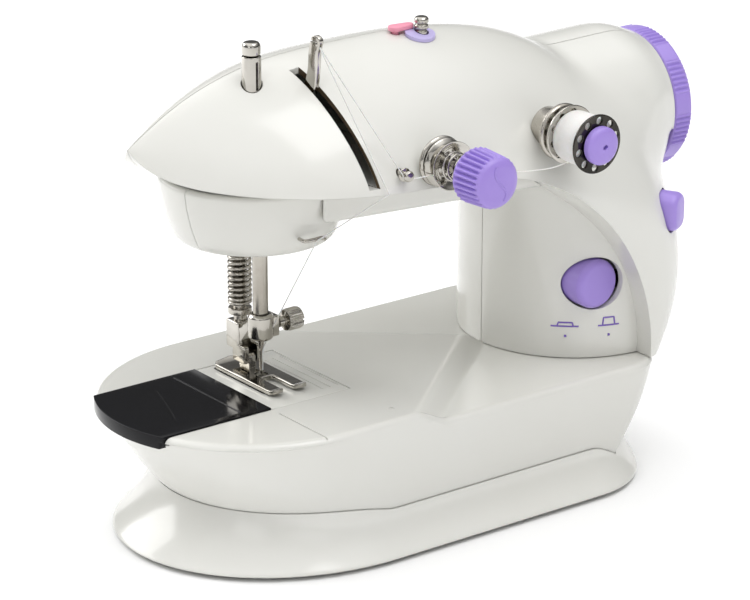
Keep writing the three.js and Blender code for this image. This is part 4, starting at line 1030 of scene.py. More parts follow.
def slide_plate():
    """Glossy black plate with a curved lip, a raised line and diagonal grip ridges."""
    y0, y1, split = BAY["y0"] + GAP, BAY["y1"] - GAP, BAY["split"] - 0.15
    x, y = hull_outline(DECK_Z, 0)
    body = slab("slide", np.stack([x, y], -1), DECK_Z - 2.4, DECK_Z + 0.5)
    only(body, block("strip", (-120, y0, 0), (split, y1, 100)))
    x, y = hull_outline(DECK_Z, -0.6)
    rim = slab("rim", np.stack([x, y], -1), DECK_Z - 3.6, DECK_Z + 0.5)
    carve(
        rim,
        [
            (CUT, hull("rim_room", -GAP, 20, DECK_Z - 2.4, 12)),
            (KEEP, block("rim_strip", (-120, y0, 0), (-80, y1, 100))),
            (CUT, block("notch", (-98, y0 - 1, DECK_Z - 5), (-87.6, y0 + 1.1, DECK_Z - 1.2))),
        ],
    )
    plus(body, rim)
    soften(body, 0.4, 3, 40)
    line = block("line", (-64.2, y0 + 2.5, DECK_Z + 0.3), (-63.8, y1 - 2.5, DECK_Z + 0.72))
    ridges = []
    a = math.radians(68)
    along, across = np.array([math.cos(a), math.sin(a)]), np.array([-math.sin(a), math.cos(a)])
    for i in range(7):
        spot = np.array([-82.5 + 0.9 * i, -5.5 + 2.5 * i])
        corners = ((-5, -0.3), (5, -0.3), (5, 0.3), (-5, 0.3))
        outline = [spot + along * u + across * v for u, v in corners]
        ridges.append(slab("ridge", outline, DECK_Z + 0.3, DECK_Z + 0.68))
    plus(body, line, *ridges)
    piece(body, BLACK, "bobbin_slide", "slide_plate", "slide_plate")


arm_beam()
cups()
bed()
stand()
plates()

# ------------------------------------------------------------------ wheel and controls


def hand_wheel():
    """Wheel with fine ridges in groups round its rim and a dished face."""
    r, x0, x1 = WHEEL["r"], WHEEL["x0"], WHEEL["x1"]
    axis = (0, DRIVE_Y, SHAFT_Z)
    group, first, half, pitch = 45, 15.5, 14.5, 4.2

    def rib(angle, radius, height):
        """Ribs a pitch apart in degrees, within half a group's width of its middle."""
        place = (np.degrees(angle) - first) % group
        place = np.where(place > group / 2, place - group, place)
        inside = np.clip((half - np.abs(place)) / 1.5, 0, 1)
        wave = 0.5 + 0.5 * np.cos(2 * np.pi * place / pitch)
        depth = 0.75 * inside * wave
        on_rim = 1.0 if radius > r - 0.75 and x0 + 0.5 < height < x1 - 0.6 else 0.0
        return radius - 0.55 * on_rim * inside + depth * on_rim

    face = [
        (r - 0.3, -1.0), (r - 1.2, -0.2), (r - 2.6, 0), (r - 4.5, 0),
        (r - 6, -2), (9, -2), (8, -1.2), (4.9, -1.2),
    ]
    profile = rounded([(4.9, x0), (r - 0.5, x0), (r, x0 + 0.5)], 0.2)
    profile += [(r, float(x)) for x in np.linspace(x0 + 0.7, x1 - 1.6, 8)]
    profile += rounded(at_height(x1, face), 0.6)
    wheel = lathe("wheel", profile, "x", axis, 720, rib)
    plus(wheel, rod("hub", 5.2, x0, x1 - 1.6, "x", axis, 64))
    less(wheel, rod("axle", 2.5, x0 - 1, x1 - 4, "x", axis))
    piece(wheel, PURPLE, "balance_wheel", "hand_wheel", "wheel", 40)


def tension_unit():
    place = (TENSION["x"], 0, TENSION["z"])
    outline = [
        (2.3, 36), (2.3, 45.6), (7.4, 45.8), (8.2, 46.4), (8.2, 47.2),
        (7.4, 47.8), (4.6, 48), (4.6, 48.6), (2, 48.8), (2, 73),
    ]
    post = rounded(outline, 0.3)
    body = lathe("post", [(0, 36), *post, (0, 73)], "-y", place, 96)
    piece(body, CHROME, "tension_stud", "tension_post")
    for name, node, middle, flip in (
        ("tension_washer_back", "tension_disc_rear", 50.4, -1),
        ("tension_washer_front", "tension_disc_front", 51.6, 1),
    ):
        at = lambda r, h: (r, middle + flip * h)
        inner = [at(2.3, -0.2), at(3.6, -0.25), at(5.2, -0.1), at(6.6, 0.45), at(7.8, 1.35)]
        outer = [
            at(7.9, 1.75), at(7.6, 1.8), at(6.4, 1.0), at(5.2, 0.5), at(3.4, 0.35), at(2.3, 0.4)
        ]
        disc = lathe(name, rounded(inner + outer, 0.5, 3, True), "-y", place, 96)
        piece(disc, CHROME, name, node)
    turns = np.linspace(0, 4.5 * 2 * np.pi, 220)
    depth = 53.5 + 9.0 * smoothstep(turns / turns[-1], 0.0, 1.0)
    radius = 3.2 + 1.4 * (1 - turns / turns[-1])
    x, z = place[0] + radius * np.cos(turns), place[2] + radius * np.sin(turns)
    path = np.stack([x, -depth, z], -1)
    piece(pipe("coil", path, 0.42, 10), CHROME, "check_spring", "tension_spring")
    tension_knob(place)


def tension_knob(place):
    """Knob with rounded grooves, a smooth crowned face and a raised S line on it."""
    knob = 8.9

    def rib(angle, radius, height):
        deep = smoothstep(height, 63.8, 64.6) * (1 - smoothstep(height, 73.2, 74.8))
        groove = (0.5 - 0.5 * np.cos(28 * angle)) ** 1.4
        return radius - 1.25 * groove * deep if radius > 6 else np.full(angle.shape, float(radius))

    levels = [(0, 63.3), (6.5, 63.3), (knob - 0.6, 63.5), (knob, 64.2)]
    levels += [(knob - 0.04 * k, 64.2 + 0.75 * k) for k in range(1, 14)]
    crown = [(knob - 0.9, 74.6), (knob - 1.7, 75.6), (knob - 3.2, 76.2), (2.5, 76.55), (0, 76.6)]
    levels += rounded(crown, 0.6)
    body = lathe("knob", levels, "-y", place, 560, rib)
    less(body, rod("socket", 2.2, 62, 71, "-y", place, 40))
    t = np.linspace(-1, 1, 40)
    path = np.stack(
        [place[0] + 2.2 * np.sin(2.4 * t), -76.5 + 0.3 * np.abs(t) ** 2, place[2] - 5.6 * t], -1
    )
    line = pipe("line", path, 0.34, 8)
    plus(body, line)
    piece(body, PURPLE, "tension_dial_knob", "tension_knob", "tension_dial", 40)


def flange(low, high, place, hole_r, inset, holes=10):
    """Thin bobbin flange with a rolled rim and round windows."""
    middle, r = (low + high) / 2, BOBBIN["r"]
    profile = rounded([(3, low), (r, low), (r, high), (3, high)], 0.3, 4, True)
    tools = []
    for i in range(holes):
        a = 2 * math.pi * (i + 0.35) / holes
        at = (place[0] + (r - inset) * math.cos(a), 0, place[2] + (r - inset) * math.sin(a))
        tools.append(rod("window", hole_r, middle - 2, middle + 2, "-y", at, 24))
    return less(lathe("flange", profile, "-y", place, 96), *tools)


def bobbin_unit():
    place = (BOBBIN["x"], 0, BOBBIN["z"])
    front = BOBBIN["front"]
    end = front + BOBBIN["width"]
    outline = [
        (2.6, 28), (2.6, 38.6), (6.4, 39), (6.8, 44.6), (7.4, 45.4), (8.6, 46), (9.2, 46.6),
        (9.2, 47.6), (8.6, 48.2), (5.2, 48.6), (5.2, 50.1), (2.6, 50.4), (2.6, end + 2),
    ]
    pin = lathe("pin", [(0, 28), *rounded(outline, 0.35), (0, end + 2)], "-y", place, 96)
    piece(pin, (NICKEL[0], "chrome_fittings"), "bobbin_stud", "bobbin_pin")
    near = flange(end - 0.9, end, place, 1.3, 2.0)
    far = flange(front, front + 0.9, place, 1.2, 2.1)
    outline = [(3, front + 0.5), (4.2, front + 0.5), (4.2, end - 0.5), (3, end - 0.5)]
    plus(far, lathe("core", outline, "-y", place, 64))
    # The front flange is plated like the rear one but painted near black, as a painted dark
    # reflection.
    piece(near, CHROME_PAINTED_DARK, "bobbin_front_flange", body="upper_bobbin")
    piece(far, CHROME, "thread_bobbin", "upper_bobbin", "upper_bobbin")
    wound = []
    low, high = front + 1.15, end - 1.15
    for k, h in enumerate(np.arange(low, high, 0.17)):
        bulge = 8.35 - 0.5 * abs(2 * (h - low) / (high - low) - 1) ** 6
        wound.append((bulge + (0.09 if k % 2 else -0.05), float(h)))
    reel = lathe("reel", [(4.5, low), *wound, (4.5, high)], "-y", place, 96)
    piece(reel, THREAD, "thread_on_bobbin", "bobbin_thread", "upper_bobbin", 80)
    face = end + GAP
    cap = [(0, 0), (5.8, 0), (6.2, 0.5), (6.2, 2.4), (5.2, 3.3), (3.2, 3.7), (0, 3.75)]
    body = lathe("cap", rounded(at_height(face, cap), 0.7, 6), "-y", place, 96)
    outline = [(-1.0, -0.5), (-0.2, -0.9), (0.9, -0.4), (1.0, 0.3), (0.2, 0.8), (-0.9, 0.3)]
    outline = [(place[0] + a, place[2] + b) for a, b in outline]
    slit = slab("slit", outline, -(face + 8), -(face + 2.6), "y")
    less(body, rod("cap_bore", 2.8, face - 1, face + 2.2, "-y", place, 40), slit)
    piece(body, PURPLE, "bobbin_retainer", "bobbin_cap", "upper_bobbin")


def buttons():
    """The two push buttons and the two sockets."""
    face, r = SPEED["face"], SPEED["r"]
    outline = [(0, -15), (r - 0.4, -15), (r, -14.4), (r, -1.4), (r - 1.2, 0), (0, 0.12)]
    profile = rounded(at_height(face, outline), 1.2, 6)
    speed = lathe("speed", profile, "-y", (SPEED["x"], 0, SPEED["z"]), 120)
    piece(speed, PURPLE, "speed_push", "speed_button", "speed_button")
    power = power_block("power", 0, -7, POWER["proud"], 2.6)
    piece(power, PURPLE, "power_push", "power_button", "power_button", 50)
    names = (("jack_low", "power_jack"), ("jack_high", "pedal_jack"))
    for (name, node), z in zip(names, JACKS["z"]):
        profile = rounded([(3, 84), (3, 103), (1.3, 103), (1.3, 88)], 0.4)
        body = lathe(name, [(0, 84), *profile, (0, 88)], "x", (0, JACKS["y"], z), 64)
        piece(body, BLACK, name, node)


def marks():
    """Two small symbols under the speed button: a sunk and a raised key, with dots."""
    parts = []

    def stroke(points, width=0.28):
        line = np.array(points, float)
        dense = []
        for a, b in zip(line[:-1], line[1:]):
            dense += [a + (b - a) * s for s in np.linspace(0, 1, 8)[:-1]]
        dense.append(line[-1])
        path = []
        for x, z in dense:
            spot, normal = surface_at(x, z)
            lifted = np.array(spot + normal * 0.00004) / MM - SHIFT
            path.append(lifted)
        parts.append(pipe("stroke", path, width, 6))

    z = MARKS["z"]
    for x, rise in MARKS["keys"]:
        stroke([(x - 3.4, z), (x - 2.0, z)])
        stroke([(x + 2.0, z), (x + 3.4, z)])
        stroke([(x - 2.0, z), (x - 1.7, z + rise), (x + 1.7, z + rise), (x + 2.0, z), (x - 2.0, z)])
        dot_z = z + MARKS["dot_z"]
        stroke([(x - 0.3, dot_z), (x + 0.3, dot_z)], 0.42)
    piece(joined("key_marks", parts), MARK, "key_marks")


# ------------------------------------------------------------------ spool pin and winder


def top_fittings():
    """Spool pin, bobbin winder and the winder's stop on top of the arm."""
    x, y, z = SPOOL
    tube = rounded(at_height(z, [(2.3, -12), (3.05, -12), (3.05, 8.4), (2.3, 8.4)]), 0.25, 4, True)
    body = lathe("tube", tube, "z", (x, y, 0), 64)
    less(body, block("split", (x - 0.45, y - 5, z - 2), (x + 0.45, y, z + 7)))
    piece(body, CHROME, "spool_tube", "spool_pin_base")
    top = [(0, -11), (1.9, -11), (1.9, 8.8), (2.9, 8.9), (2.95, 11.9), (2.3, 12.9), (0, 13)]
    body = lathe("rod", rounded(at_height(z, top), 0.5, 5), "z", (x, y, 0), 64)
    piece(body, CHROME, "spool_rod", "spool_pin_top", "spool_pin_top")
    x, y, z = WINDER
    spindle = [
        (0, -12), (1.9, -12), (1.9, 2.1), (1.5, 2.4), (2.3, 3), (2.3, 4.1),
        (1.6, 4.5), (2.3, 4.9), (2.35, 6.1), (1.7, 6.8), (0, 6.9),
    ]
    body = lathe("spindle", rounded(at_height(z, spindle), 0.35), "z", (x, y, 0), 64)
    piece(body, CHROME, "winding_spindle", "winder_spindle", "winder_spindle")
    winder_plate()
    x, y, z = STOP
    outline = arcs(((x, y), 2.4, 90), ((x + 5.2, y), 1.7, -90), steps=17)
    finger = soften(slab("finger", outline, z, z + 1.5), 0.35, 3)
    plus(finger, rod("stop_pin", 1.1, z - 6, z + 0.5, "z", (x, y, 0)))
    piece(finger, PINK, "winding_stop", "winder_stop", "winder_stop")


def winder_plate():
    x, y, _ = WINDER
    a = np.linspace(0, 2 * np.pi, 96, endpoint=False)
    oval = np.stack([x - 1 + 5.4 * np.cos(a), y - 0.6 + 3.9 * np.sin(a)], -1)
    body = slab("oval", oval, 120, 180)
    carve(
        body,
        [
            (KEEP, dome("oval_top", 1.25, 0, 160, 40)),
            (CUT, dome("oval_room", 0.12, 0, 160, 40)),
            (CUT, rod("oval_hole", 2.4, 100, 200, "z", (x, y, 0), 40)),
            (KEEP, block("oval_zone", (x - 20, y - 20, 150), (x + 20, y + 20, 170))),
        ],
    )
    piece(body, LAVENDER, "winding_plate", "winder_plate")


hand_wheel()
tension_unit()
bobbin_unit()
buttons()
marks()
top_fittings()


# ------------------------------------------------------------------ needle and presser


def needle_unit():
    place = (NEEDLE_X, DRIVE_Y, 0)
    middle = SHAFT_Z + 1
    bar = turned([(0, 64.8), (2.5, 64.8), (2.5, 126), (0, 126)], 0.4, "z", place)
    carve(
        bar,
        [
            (ADD, rod("collar", 3.2, middle - 3, middle + 3, "z", place, 48)),
            (ADD, block("yoke", (-40, DRIVE_Y - 13, middle - 3), (-38.4, 13, middle + 3))),
            (
                CUT,
                block("yoke_slot", (-39.7, DRIVE_Y - 11.4, middle - 1.5), (-38, 15, middle + 1.5)),
            ),
        ],
    )
    piece(bar, NICKEL, "needle_rod", "needle_bar", "needle_unit")
    z0, z1, screw = CLAMP["z0"], CLAMP["z1"], CLAMP["screw"]
    outline = [(0, z0), (3.6, z0), (4.2, z0 + 0.8), (4.2, z1 - 1), (3.4, z1), (0, z1)]
    clamp = turned(outline, 0.3, "z", place)
    cheek = block("cheek", (NEEDLE_X, DRIVE_Y - 3, z0 + 0.6), (NEEDLE_X + 5.4, DRIVE_Y + 3, z1 - 1))
    plus(clamp, soften(cheek, 0.5, 3))
    less(
        clamp,
        rod("screw_hole", 1.4, NEEDLE_X + 2.8, NEEDLE_X + 8, "x", (0, DRIVE_Y, screw)),
        rod("bar_hole", 2.8, z0 + 3.1, z1 + 5, "z", place, 48),
        rod("needle_hole", 1.3, z0 - 5, z0 + 4, "z", place),
        block("clamp_slit", (NEEDLE_X + 2, DRIVE_Y - 0.3, z0), (NEEDLE_X + 9, DRIVE_Y + 0.3, z1)),
    )
    piece(clamp, CHROME, "clamp_block", "needle_clamp", "needle_unit")
    clamp_screw(screw)
    top, side = z0 + 2.9, 0.12
    shape = [
        (0, 48.4), (0.15, 48.4), (0.45, 50.4), (0.6, 51.6), (0.6, 57), (0.7, 57.6), (1, 58.4),
        (1, top), (0, top),
    ]
    pin = lathe("pin", shape, "z", place, 32)
    low, high = (NEEDLE_X - side, DRIVE_Y - 1, 50.9), (NEEDLE_X + side, DRIVE_Y - 0.42, 57)
    groove = block("groove", low, high)
    eye = rod("eye", 0.22, -3, 9, "y", (NEEDLE_X, 0, 50.6), 16)
    less(pin, groove, eye)
    piece(pin, NICKEL, "sewing_needle", "needle", "needle_unit")


def clamp_screw(z):
    """Thumb screw with a ribbed head."""
    x, head_r = NEEDLE_X + 3, 3.7

    def rib(angle, radius, height):
        on = 1.0 if radius > 3.5 and height > x + 7 else 0.0
        return radius - 0.28 * on * (0.5 - 0.5 * np.cos(26 * angle))

    stem = [(0, 0), (1.1, 0), (1.1, 3.6), (1.8, 3.65), (1.8, 6), (3.4, 6.4), (head_r, 7.6)]
    profile = at_height(x, stem)
    profile += [(head_r, x + 7.6 + 0.5 * k) for k in range(1, 8)]
    profile += at_height(x, [(3.5, 11.8), (3.0, 12.2), (0, 12.2)])
    head = lathe("head", profile, "x", (0, DRIVE_Y, z), 208, rib)
    low, high = (x + 11.2, DRIVE_Y - 5, z - 0.45), (x + 13, DRIVE_Y + 5, z + 0.45)
    less(head, block("driver_slot", low, high))
    piece(head, CHROME, "thumb_screw", "clamp_screw", "clamp_screw", 40)


def presser_unit():
    place = (PRESSER_X, PRESSER_Y, 0)
    bar = turned([(0, 58.4), (2.2, 58.4), (2.2, 132), (0, 132)], 0.3, "z", place, 48)
    arm = block("arm", (PRESSER_X, PRESSER_Y, 112), (LIFTER[0] + 3, PRESSER_Y + 4, 116))
    collar = turned([(0, 66.2), (3.9, 66.2), (3.9, 68.2), (0, 68.2)], 0.3, "z", place)
    plus(bar, collar, rod("clasp", 3.1, 112, 116, "z", place, 48), arm)
    piece(bar, NICKEL, "presser_rod", "presser_bar", "presser_unit")
    presser_spring()
    x, y = PRESSER_X, PRESSER_Y
    pivot_y, _ = FOOT_PIVOT
    holder = block("holder", (x - 3.4, y - 3.4, 54.6), (x + 3.4, y + 3.4, 64))
    plus(holder, block("reach", (x - 3.4, pivot_y - 2, 50.8), (x + 3.4, y, 56.6)))
    soften(holder, 0.5, 3)
    less(
        holder,
        block("slit", (x - 1.7, pivot_y - 3, 50), (x + 1.7, pivot_y + 3.4, 58)),
        rod("screw_room", 1.3, x + 2.1, x + 5, "x", (0, y, 60.4)),
        rod("bar_room", 2.3, 58.1, 70, "z", place, 48),
    )
    piece(holder, CHROME, "foot_shank", "foot_holder", "presser_unit")
    x += 2.5
    shape = [(0, 0), (1, 0), (1, 1.2), (3, 1.3), (3, 5), (2.4, 5.6), (0, 5.7)]
    head = turned(at_height(x, shape), 0.3, "x", (0, y, 60.4), 96)
    less(head, block("slot", (x + 4.8, y - 4, 60), (x + 7, y + 4, 60.8)))
    piece(head, CHROME, "shank_screw", "foot_screw", "foot_screw")


def presser_spring():
    """Fine coil between the presser bar's collar and the head, made at one fixed length; on the
    machine it closes as the bar rises.
    """
    low, high, wire, turns, radius = 69.1, 98.4, 0.62, 17, 3.45
    t = np.linspace(0, 1, 32 * turns)
    squeeze = np.interp(t, [0, 0.06, 0.94, 1], [0, 0.025, 0.975, 1])
    z = low + wire + (high - low - 2 * wire) * squeeze
    a = 2 * np.pi * turns * t
    path = np.stack([PRESSER_X + radius * np.cos(a), PRESSER_Y + radius * np.sin(a), z], -1)
    coil = pipe("coil", path, wire, 10)
    dress(coil, "presser_coil", NICKEL[0], 40)
    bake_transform(coil)
    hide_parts("presser_spring")


def presser_foot():
    """Sole with two rounded toes that turn up, a needle gap and a hinge lug."""
    x, y = NEEDLE_X, DRIVE_Y
    pivot_y, pivot_z = FOOT_PIVOT
    edge = []
    for toe in (-1, 1):
        middle = x + 4.6 * toe
        turn = np.radians(np.linspace(180, 360, 21))
        arc = [(middle + 2.4 * math.cos(a), y - 14.2 + 2.6 * math.sin(a)) for a in turn]
        edge += arc if toe < 0 else [(x - 2.2, y - 3), (x + 2.2, y - 3)] + arc
    heel = [(7, 16), (5.8, 17.6), (0, 18.5), (-5.8, 17.6), (-7, 16)]
    edge += [(x + dx, y + dy) for dx, dy in heel]
    sole = slab("sole", edge, DECK_Z + 0.5, DECK_Z + 2)
    grid = sole.modifiers.new("fine", "REMESH")
    grid.mode, grid.voxel_size = "VOXEL", 0.0003
    settle(sole)
    points = np.empty(len(sole.data.vertices) * 3)
    sole.data.vertices.foreach_get("co", points)
    points = points.reshape(-1, 3)
    reach = (y - 12.6 + SHIFT[1]) * MM - points[:, 1]
    tail = points[:, 1] - (y + 14.6 + SHIFT[1]) * MM
    toe_rise = 0.06 * np.clip(reach / MM, 0, 9) ** 2 * MM
    points[:, 2] += toe_rise + 0.05 * np.clip(tail / MM, 0, 9) ** 2 * MM
    sole.data.vertices.foreach_set("co", points.ravel())
    less(sole, rod("eye", 2.2, DECK_Z - 1, 60, "z", (NEEDLE_X, DRIVE_Y, 0), 40))
    outline = [
        (pivot_y - 1.8, DECK_Z + 1), (pivot_y + 4.6, DECK_Z + 1), (pivot_y + 2.6, pivot_z + 0.6),
        (pivot_y + 1.4, pivot_z + 1.4), (pivot_y - 0.8, pivot_z + 1.4),
        (pivot_y - 1.8, pivot_z + 0.6),
    ]
    lug = slab("lug", outline, PRESSER_X - 1.3, PRESSER_X + 1.3, "x")
    plus(sole, soften(lug, 0.25, 2))
    piece(sole, CHROME, "sewing_foot", "presser_foot", "foot", 50)


def presser_lifter():
    x, z = LIFTER
    lever = turned([(0, 22.5), (3, 22.5), (3, 40), (0, 40)], 0.3, "y", (x, 0, z))
    cam = rod("cam", 4.2, PRESSER_Y + 0.3, 23, "y", (x, 0, z + 0.2), 64)
    corners = [(x - 3, z - 1), (x + 1, z + 3.4), (x + 4, z + 1), (x + 19, z - 17), (x + 15, z - 20)]
    outline = rounded(corners, 1.4, 6, True)
    blade = soften(slab("blade", outline, 37.6, 40, "y"), 0.5, 3)
    plus(lever, cam, blade)
    piece(lever, GREY, "lift_lever", "presser_lifter", "lifter")


def lever_spine():
    points = [
        (LEVER["y"], LEVER["z"]), (-13, 142.5), (-18.2, 149), (-20, 155), (-20.6, 162), (-22, 167)
    ]
    return curve_through(points, 81)


def on_pivot(name, radius, low, high):
    """A rod across the lever's slab, on its pivot."""
    turn = math.atan(SLOT["lean"])
    x = SLOT["x"] - SLOT["lean"] * (LEVER["y"] - FRONT_Y)
    pin = rod(name, radius, low, high, "x", (0, 0, 0), 48)
    corners = np.array([v.co for v in pin.data.vertices]) / MM - SHIFT
    c, d = math.cos(turn), math.sin(turn)
    turned = np.stack(
        [
            c * corners[:, 0] - d * corners[:, 1], d * corners[:, 0] + c * corners[:, 1],
            corners[:, 2],
        ], -1
    )
    spot = to_frame(turned + (x, LEVER["y"], LEVER["z"]))
    pin.data.vertices.foreach_set("co", spot.ravel())
    return pin


def take_up_lever():
    """Polished strip through the slot, with the thread's eye near its top."""
    spine = lever_spine()
    along = np.gradient(spine, axis=0)
    along /= np.linalg.norm(along, axis=1)[:, None]
    t = np.linspace(0, 1, len(spine))
    half = 3.2 - 1.3 * np.clip(1.6 * t, 0, 1)
    end = np.clip((t - 0.93) / 0.07, 0, 1)
    half = half * np.sqrt(np.clip(1 - 0.92 * end**2, 0, 1))
    side = np.stack([-along[:, 1], along[:, 0]], -1) * half[:, None]
    outline = np.concatenate([spine + side, (spine - side)[::-1]])
    strip = slab("strip", outline, -70, 10, "x")
    only(strip, lever_slab("thickness", LEVER["thick"], -60, 40, 100, 180))
    soften(strip, 0.35, 3, 50)
    less(
        strip,
        rod("eye", 1.0, -60, 0, "x", (0, *THREAD_EYE), 32),
        slab(
            "thread_gate", [(-21.9, 164.5), (-18.5, 165.2), (-18.5, 165.8), (-22.1, 165.2)], -60, 0,
            "x",
        ),
    )
    plus(strip, on_pivot("hub", 3.4, -0.9, 0.9), on_pivot("pin", 1.5, -6, 6))
    piece(strip, CHROME, "take_up_arm", "take_up_lever", "lever")


def thread_guides():
    x, z = GUIDE
    shape = [
        (0, 38), (1, 38), (1, 46.4), (2.2, 46.6), (2.2, 47.2), (1, 47.5), (1, 48.6), (1.9, 49.1),
        (1.4, 50), (0, 50.1),
    ]
    stud = turned(shape, 0.25, "-y", (x, 0, z), 48)
    piece(stud, CHROME, "arm_thread_guide", "arm_guide")
    path = curve_through(cup_guide_points(), 60)
    piece(pipe("wire", path, 0.6, 14), CHROME, "cup_thread_guide", "cup_guide")


def cup_guide_points():
    x, y, r = CUP["x"], CUP["y"], CUP["r"]
    a = math.radians(-88)
    dx, dy = math.cos(a), math.sin(a)
    z = CUP["bottom"] + 6.5
    steps = [(-2.6, -4, z), (0.4, -4, z), (1, -1, z), (1, 2, z), (0.2, 4, z - 1)]
    return [(x + dx * (r + u) - dy * v, y + dy * (r + u) + dx * v, h) for u, v, h in steps]


# ------------------------------------------------------------------ underside


def underside():
    x0, x1, y0, y1 = BATTERY
    posts = [rod("post", 4, 1.5, 5, "z", (x, y, 0), 40) for x, y in FEET.values()]
    px, py = stand_outline(5, 3.3)
    panel = slab("panel", np.stack([px, py], -1), 3.6, 5.4)
    less(panel, block("opening", (x0 + 4, y0 + 4, 0), (x1 - 4, y1 - 4, 10)))
    plus(panel, *posts)
    slots = [block("vent", (46 + 4 * i, -14, 3), (48 + 4 * i, 14, 6)) for i in range(5)]
    less(panel, *slots)
    piece(panel, WHITE, "base_panel", "bottom_plate")
    door = soften(block("door", (x0, y0, 1.5), (x1, y1, 3.3)), 0.4, 3)
    grips = [block("grip", (x0 + 4 + d, -8, 1), (x0 + 5.4 + d, 8, 2.2)) for d in (0, 3, 6)]
    less(door, *grips)
    piece(door, WHITE, "battery_lid", "battery_door", "battery_door")
    for name, (x, y) in FEET.items():
        pad = turned([(0, 0), (6, 0), (6, 1.2), (0, 1.2)], 0.35, "z", (x, y, 0))
        piece(pad, RUBBER, name.replace("rubber_foot", "foot_pad"), name)


# ------------------------------------------------------------------ thread

THREAD_R = 0.2


def strand(name, points, bodies, count=60):
    """One run of the thread; a run between two bodies is tied to neither of them."""
    line = pipe(name, curve_through(points, count), THREAD_R, 8)
    dress(line, name, STRAND[0], 60)
    if len(bodies) == 1:
        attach(line, bodies[0])
    else:
        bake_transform(line)


def over_case(start, end, count=90):
    """A taut run from start to end that lies on the case where the case is in its way."""
    path = []
    for share in np.linspace(0, 1, count):
        spot = np.array(start) * (1 - share) + np.array(end) * share
        for _ in range(4):
            at = Vector(to_frame([spot])[0])
            distance, normal = signed(CASE_TREES, at)
            if distance < 0.3 * MM and 0 < share < 1:
                spot = np.array(at + normal * (0.32 * MM - distance)) / MM - SHIFT
        path.append(spot)
    return path


def threads():
    bobbin = (BOBBIN["x"] - 6.2, -(BOBBIN["front"] + 7.5), BOBBIN["z"] - 6.1)
    disc = (TENSION["x"] + 5.4, -51.0, TENSION["z"] - 4.8)
    under = (TENSION["x"] + 0.5, -51.0, TENSION["z"] - 5.8)
    rise = (TENSION["x"] - 4.6, -51.0, TENSION["z"] - 2.6)
    guide = (GUIDE[0] + 0.4, -48.1, GUIDE[1] - 1.3)
    turn = (GUIDE[0] - 1.35, -48.1, GUIDE[1] + 0.2)
    slack = (24.0, -56.5, BOBBIN["z"] - 7.2)
    strand("thread_supply", [bobbin, slack, disc, under, rise, guide, turn], ["base"], count=160)
    eye = (SLOT["x"] - SLOT["lean"] * (THREAD_EYE[0] - FRONT_Y) - 0.2, -22.2, 164.4)
    strand("thread_up", over_case(turn, eye), ["base", "lever"], 180)
    cup = np.array(cup_guide_points()[2]) + (0.6, -0.7, -0.4)
    low = (-29.4, -48.2, 121.4)
    strand("thread_down", over_case(eye, low), ["lever", "base"], 180)
    strand("thread_cup", [low, cup], ["base"])
    clamp = (NEEDLE_X + 2.6, DRIVE_Y - 3.6, CLAMP["z0"] + 5)
    strand("thread_needle", [cup, clamp], ["base", "needle_unit"])
    offsets = [
        (0.9, -1.75, 60.9), (0.1, -1.1, 58), (0, -0.86, 56), (0, -0.84, 52), (0, -0.7, 50.7),
        (0, 0.2, 50.6),
    ]
    along = [(NEEDLE_X + dx, DRIVE_Y + dy, z) for dx, dy, z in offsets]
    strand("thread_end", [clamp, *along], ["needle_unit"], count=120)


needle_unit()
presser_unit()
presser_foot()
presser_lifter()
take_up_lever()
thread_guides()
underside()
threads()


# ------------------------------------------------------------------ inside pieces

INSIDE = {
    STEEL: (
        "main_shaft", "crank_disc", "motor", "lower_shaft", "rotary_hook", "bobbin_case", "feed_dog"
    ),
    RUBBER[0]: ("drive_belt", "timing_belt"),
    BLACK[0]: ("motor_pulley",),
    CHROME[0]: ("lower_bobbin",),
}
for material, nodes in INSIDE.items():
    for node in nodes:
        for place in bpy.data.objects[node].material_slots:
            place.material = material

# ------------------------------------------------------------------ studio

FLOOR = {"half": 40, "z": -0.0004}
CAMERA = {
    "lens": 168, "place": (-0.65675, -0.84825, 0.4577), "view": (0.5655, 0.7505, -0.3420),
}
scene = bpy.context.scene


def link_new(name, data, place=(0, 0, 0), view=None):
    """A new object in the scene, turned to look along the view."""
    obj = bpy.data.objects.new(name, data)
    obj.location = place
    if view is not None:
        obj.rotation_euler = Vector(view).to_track_quat("-Z", "Y").to_euler()
    scene.collection.objects.link(obj)
    return obj


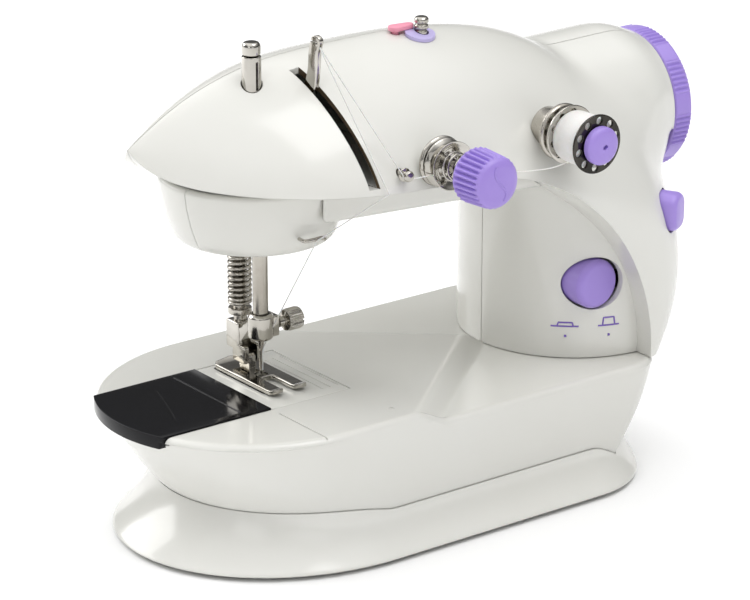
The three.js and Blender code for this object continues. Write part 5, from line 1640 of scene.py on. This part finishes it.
def studio_floor():
    half, z = FLOOR["half"], FLOOR["z"]
    mesh = bpy.data.meshes.new("studio_floor")
    corners = [(-half, -half, z), (half, -half, z), (half, half, z), (-half, half, z)]
    mesh.from_pydata(corners, [], [(0, 1, 2, 3)])
    mesh.materials.append(Paint("studio_floor", (0.97, 0.97, 0.97), 0.9).material)
    link_new("studio_floor", mesh)


def studio_world():
    """White room: bright overhead, greyer at eye level, with a few dark cards."""
    world = bpy.data.worlds.new("studio_world")
    world.use_nodes = True
    tree = world.node_tree
    place = add_node(tree, "ShaderNodeTexCoord").outputs["Generated"]
    split = add_node(tree, "ShaderNodeSeparateXYZ", {"Vector": place})
    cards = add_node(tree, "ShaderNodeTexNoise", {"Scale": 1.7, "Detail": 1.0, "Vector": place})
    mix = {0: cards.outputs["Fac"], 1: 0.45, 2: split.outputs["Z"]}
    height = add_node(tree, "ShaderNodeMath", mix, operation="MULTIPLY_ADD")
    ramp = add_node(tree, "ShaderNodeValToRGB", {"Fac": height.outputs[0]})
    stops = [(0.0, 0.7), (0.2, 0.55), (0.34, 0.12), (0.66, 0.16), (0.84, 0.75), (1.0, 1.55)]
    for i, (at, value) in enumerate(stops):
        stop = ramp.color_ramp.elements[i] if i < 2 else ramp.color_ramp.elements.new(at)
        stop.position = at
        stop.color = (value, value, value, 1)
    fill(tree, tree.nodes["Background"], {"Color": ramp.outputs["Color"]})
    scene.world = world


def lamp(name, place, target, size, watts):
    light = bpy.data.lights.new(name, "AREA")
    light.shape = "RECTANGLE"
    light.size, light.size_y = size
    light.energy = watts
    link_new(name, light, place, Vector(target) - Vector(place))


studio_floor()
studio_world()
lamp("key_light", (0.15, -0.45, 1.05), (0, 0, 0.1), (0.55, 0.45), 2.4)
lamp("left_light", (-1.05, -0.5, 0.55), (0, 0, 0.07), (0.5, 0.5), 1.1)
lamp("rear_light", (-0.5, 0.95, 0.6), (-0.02, 0, 0.04), (0.8, 0.5), 5.5)
lamp("fill_light", (-0.45, -1.35, 0.5), (0.03, 0, 0.07), (0.7, 0.6), 0.9)

camera = bpy.data.cameras.new("camera")
camera.lens = CAMERA["lens"]
camera.sensor_width = 36
scene.camera = link_new("camera", camera, CAMERA["place"], CAMERA["view"])
scene.view_settings.view_transform = "Standard"
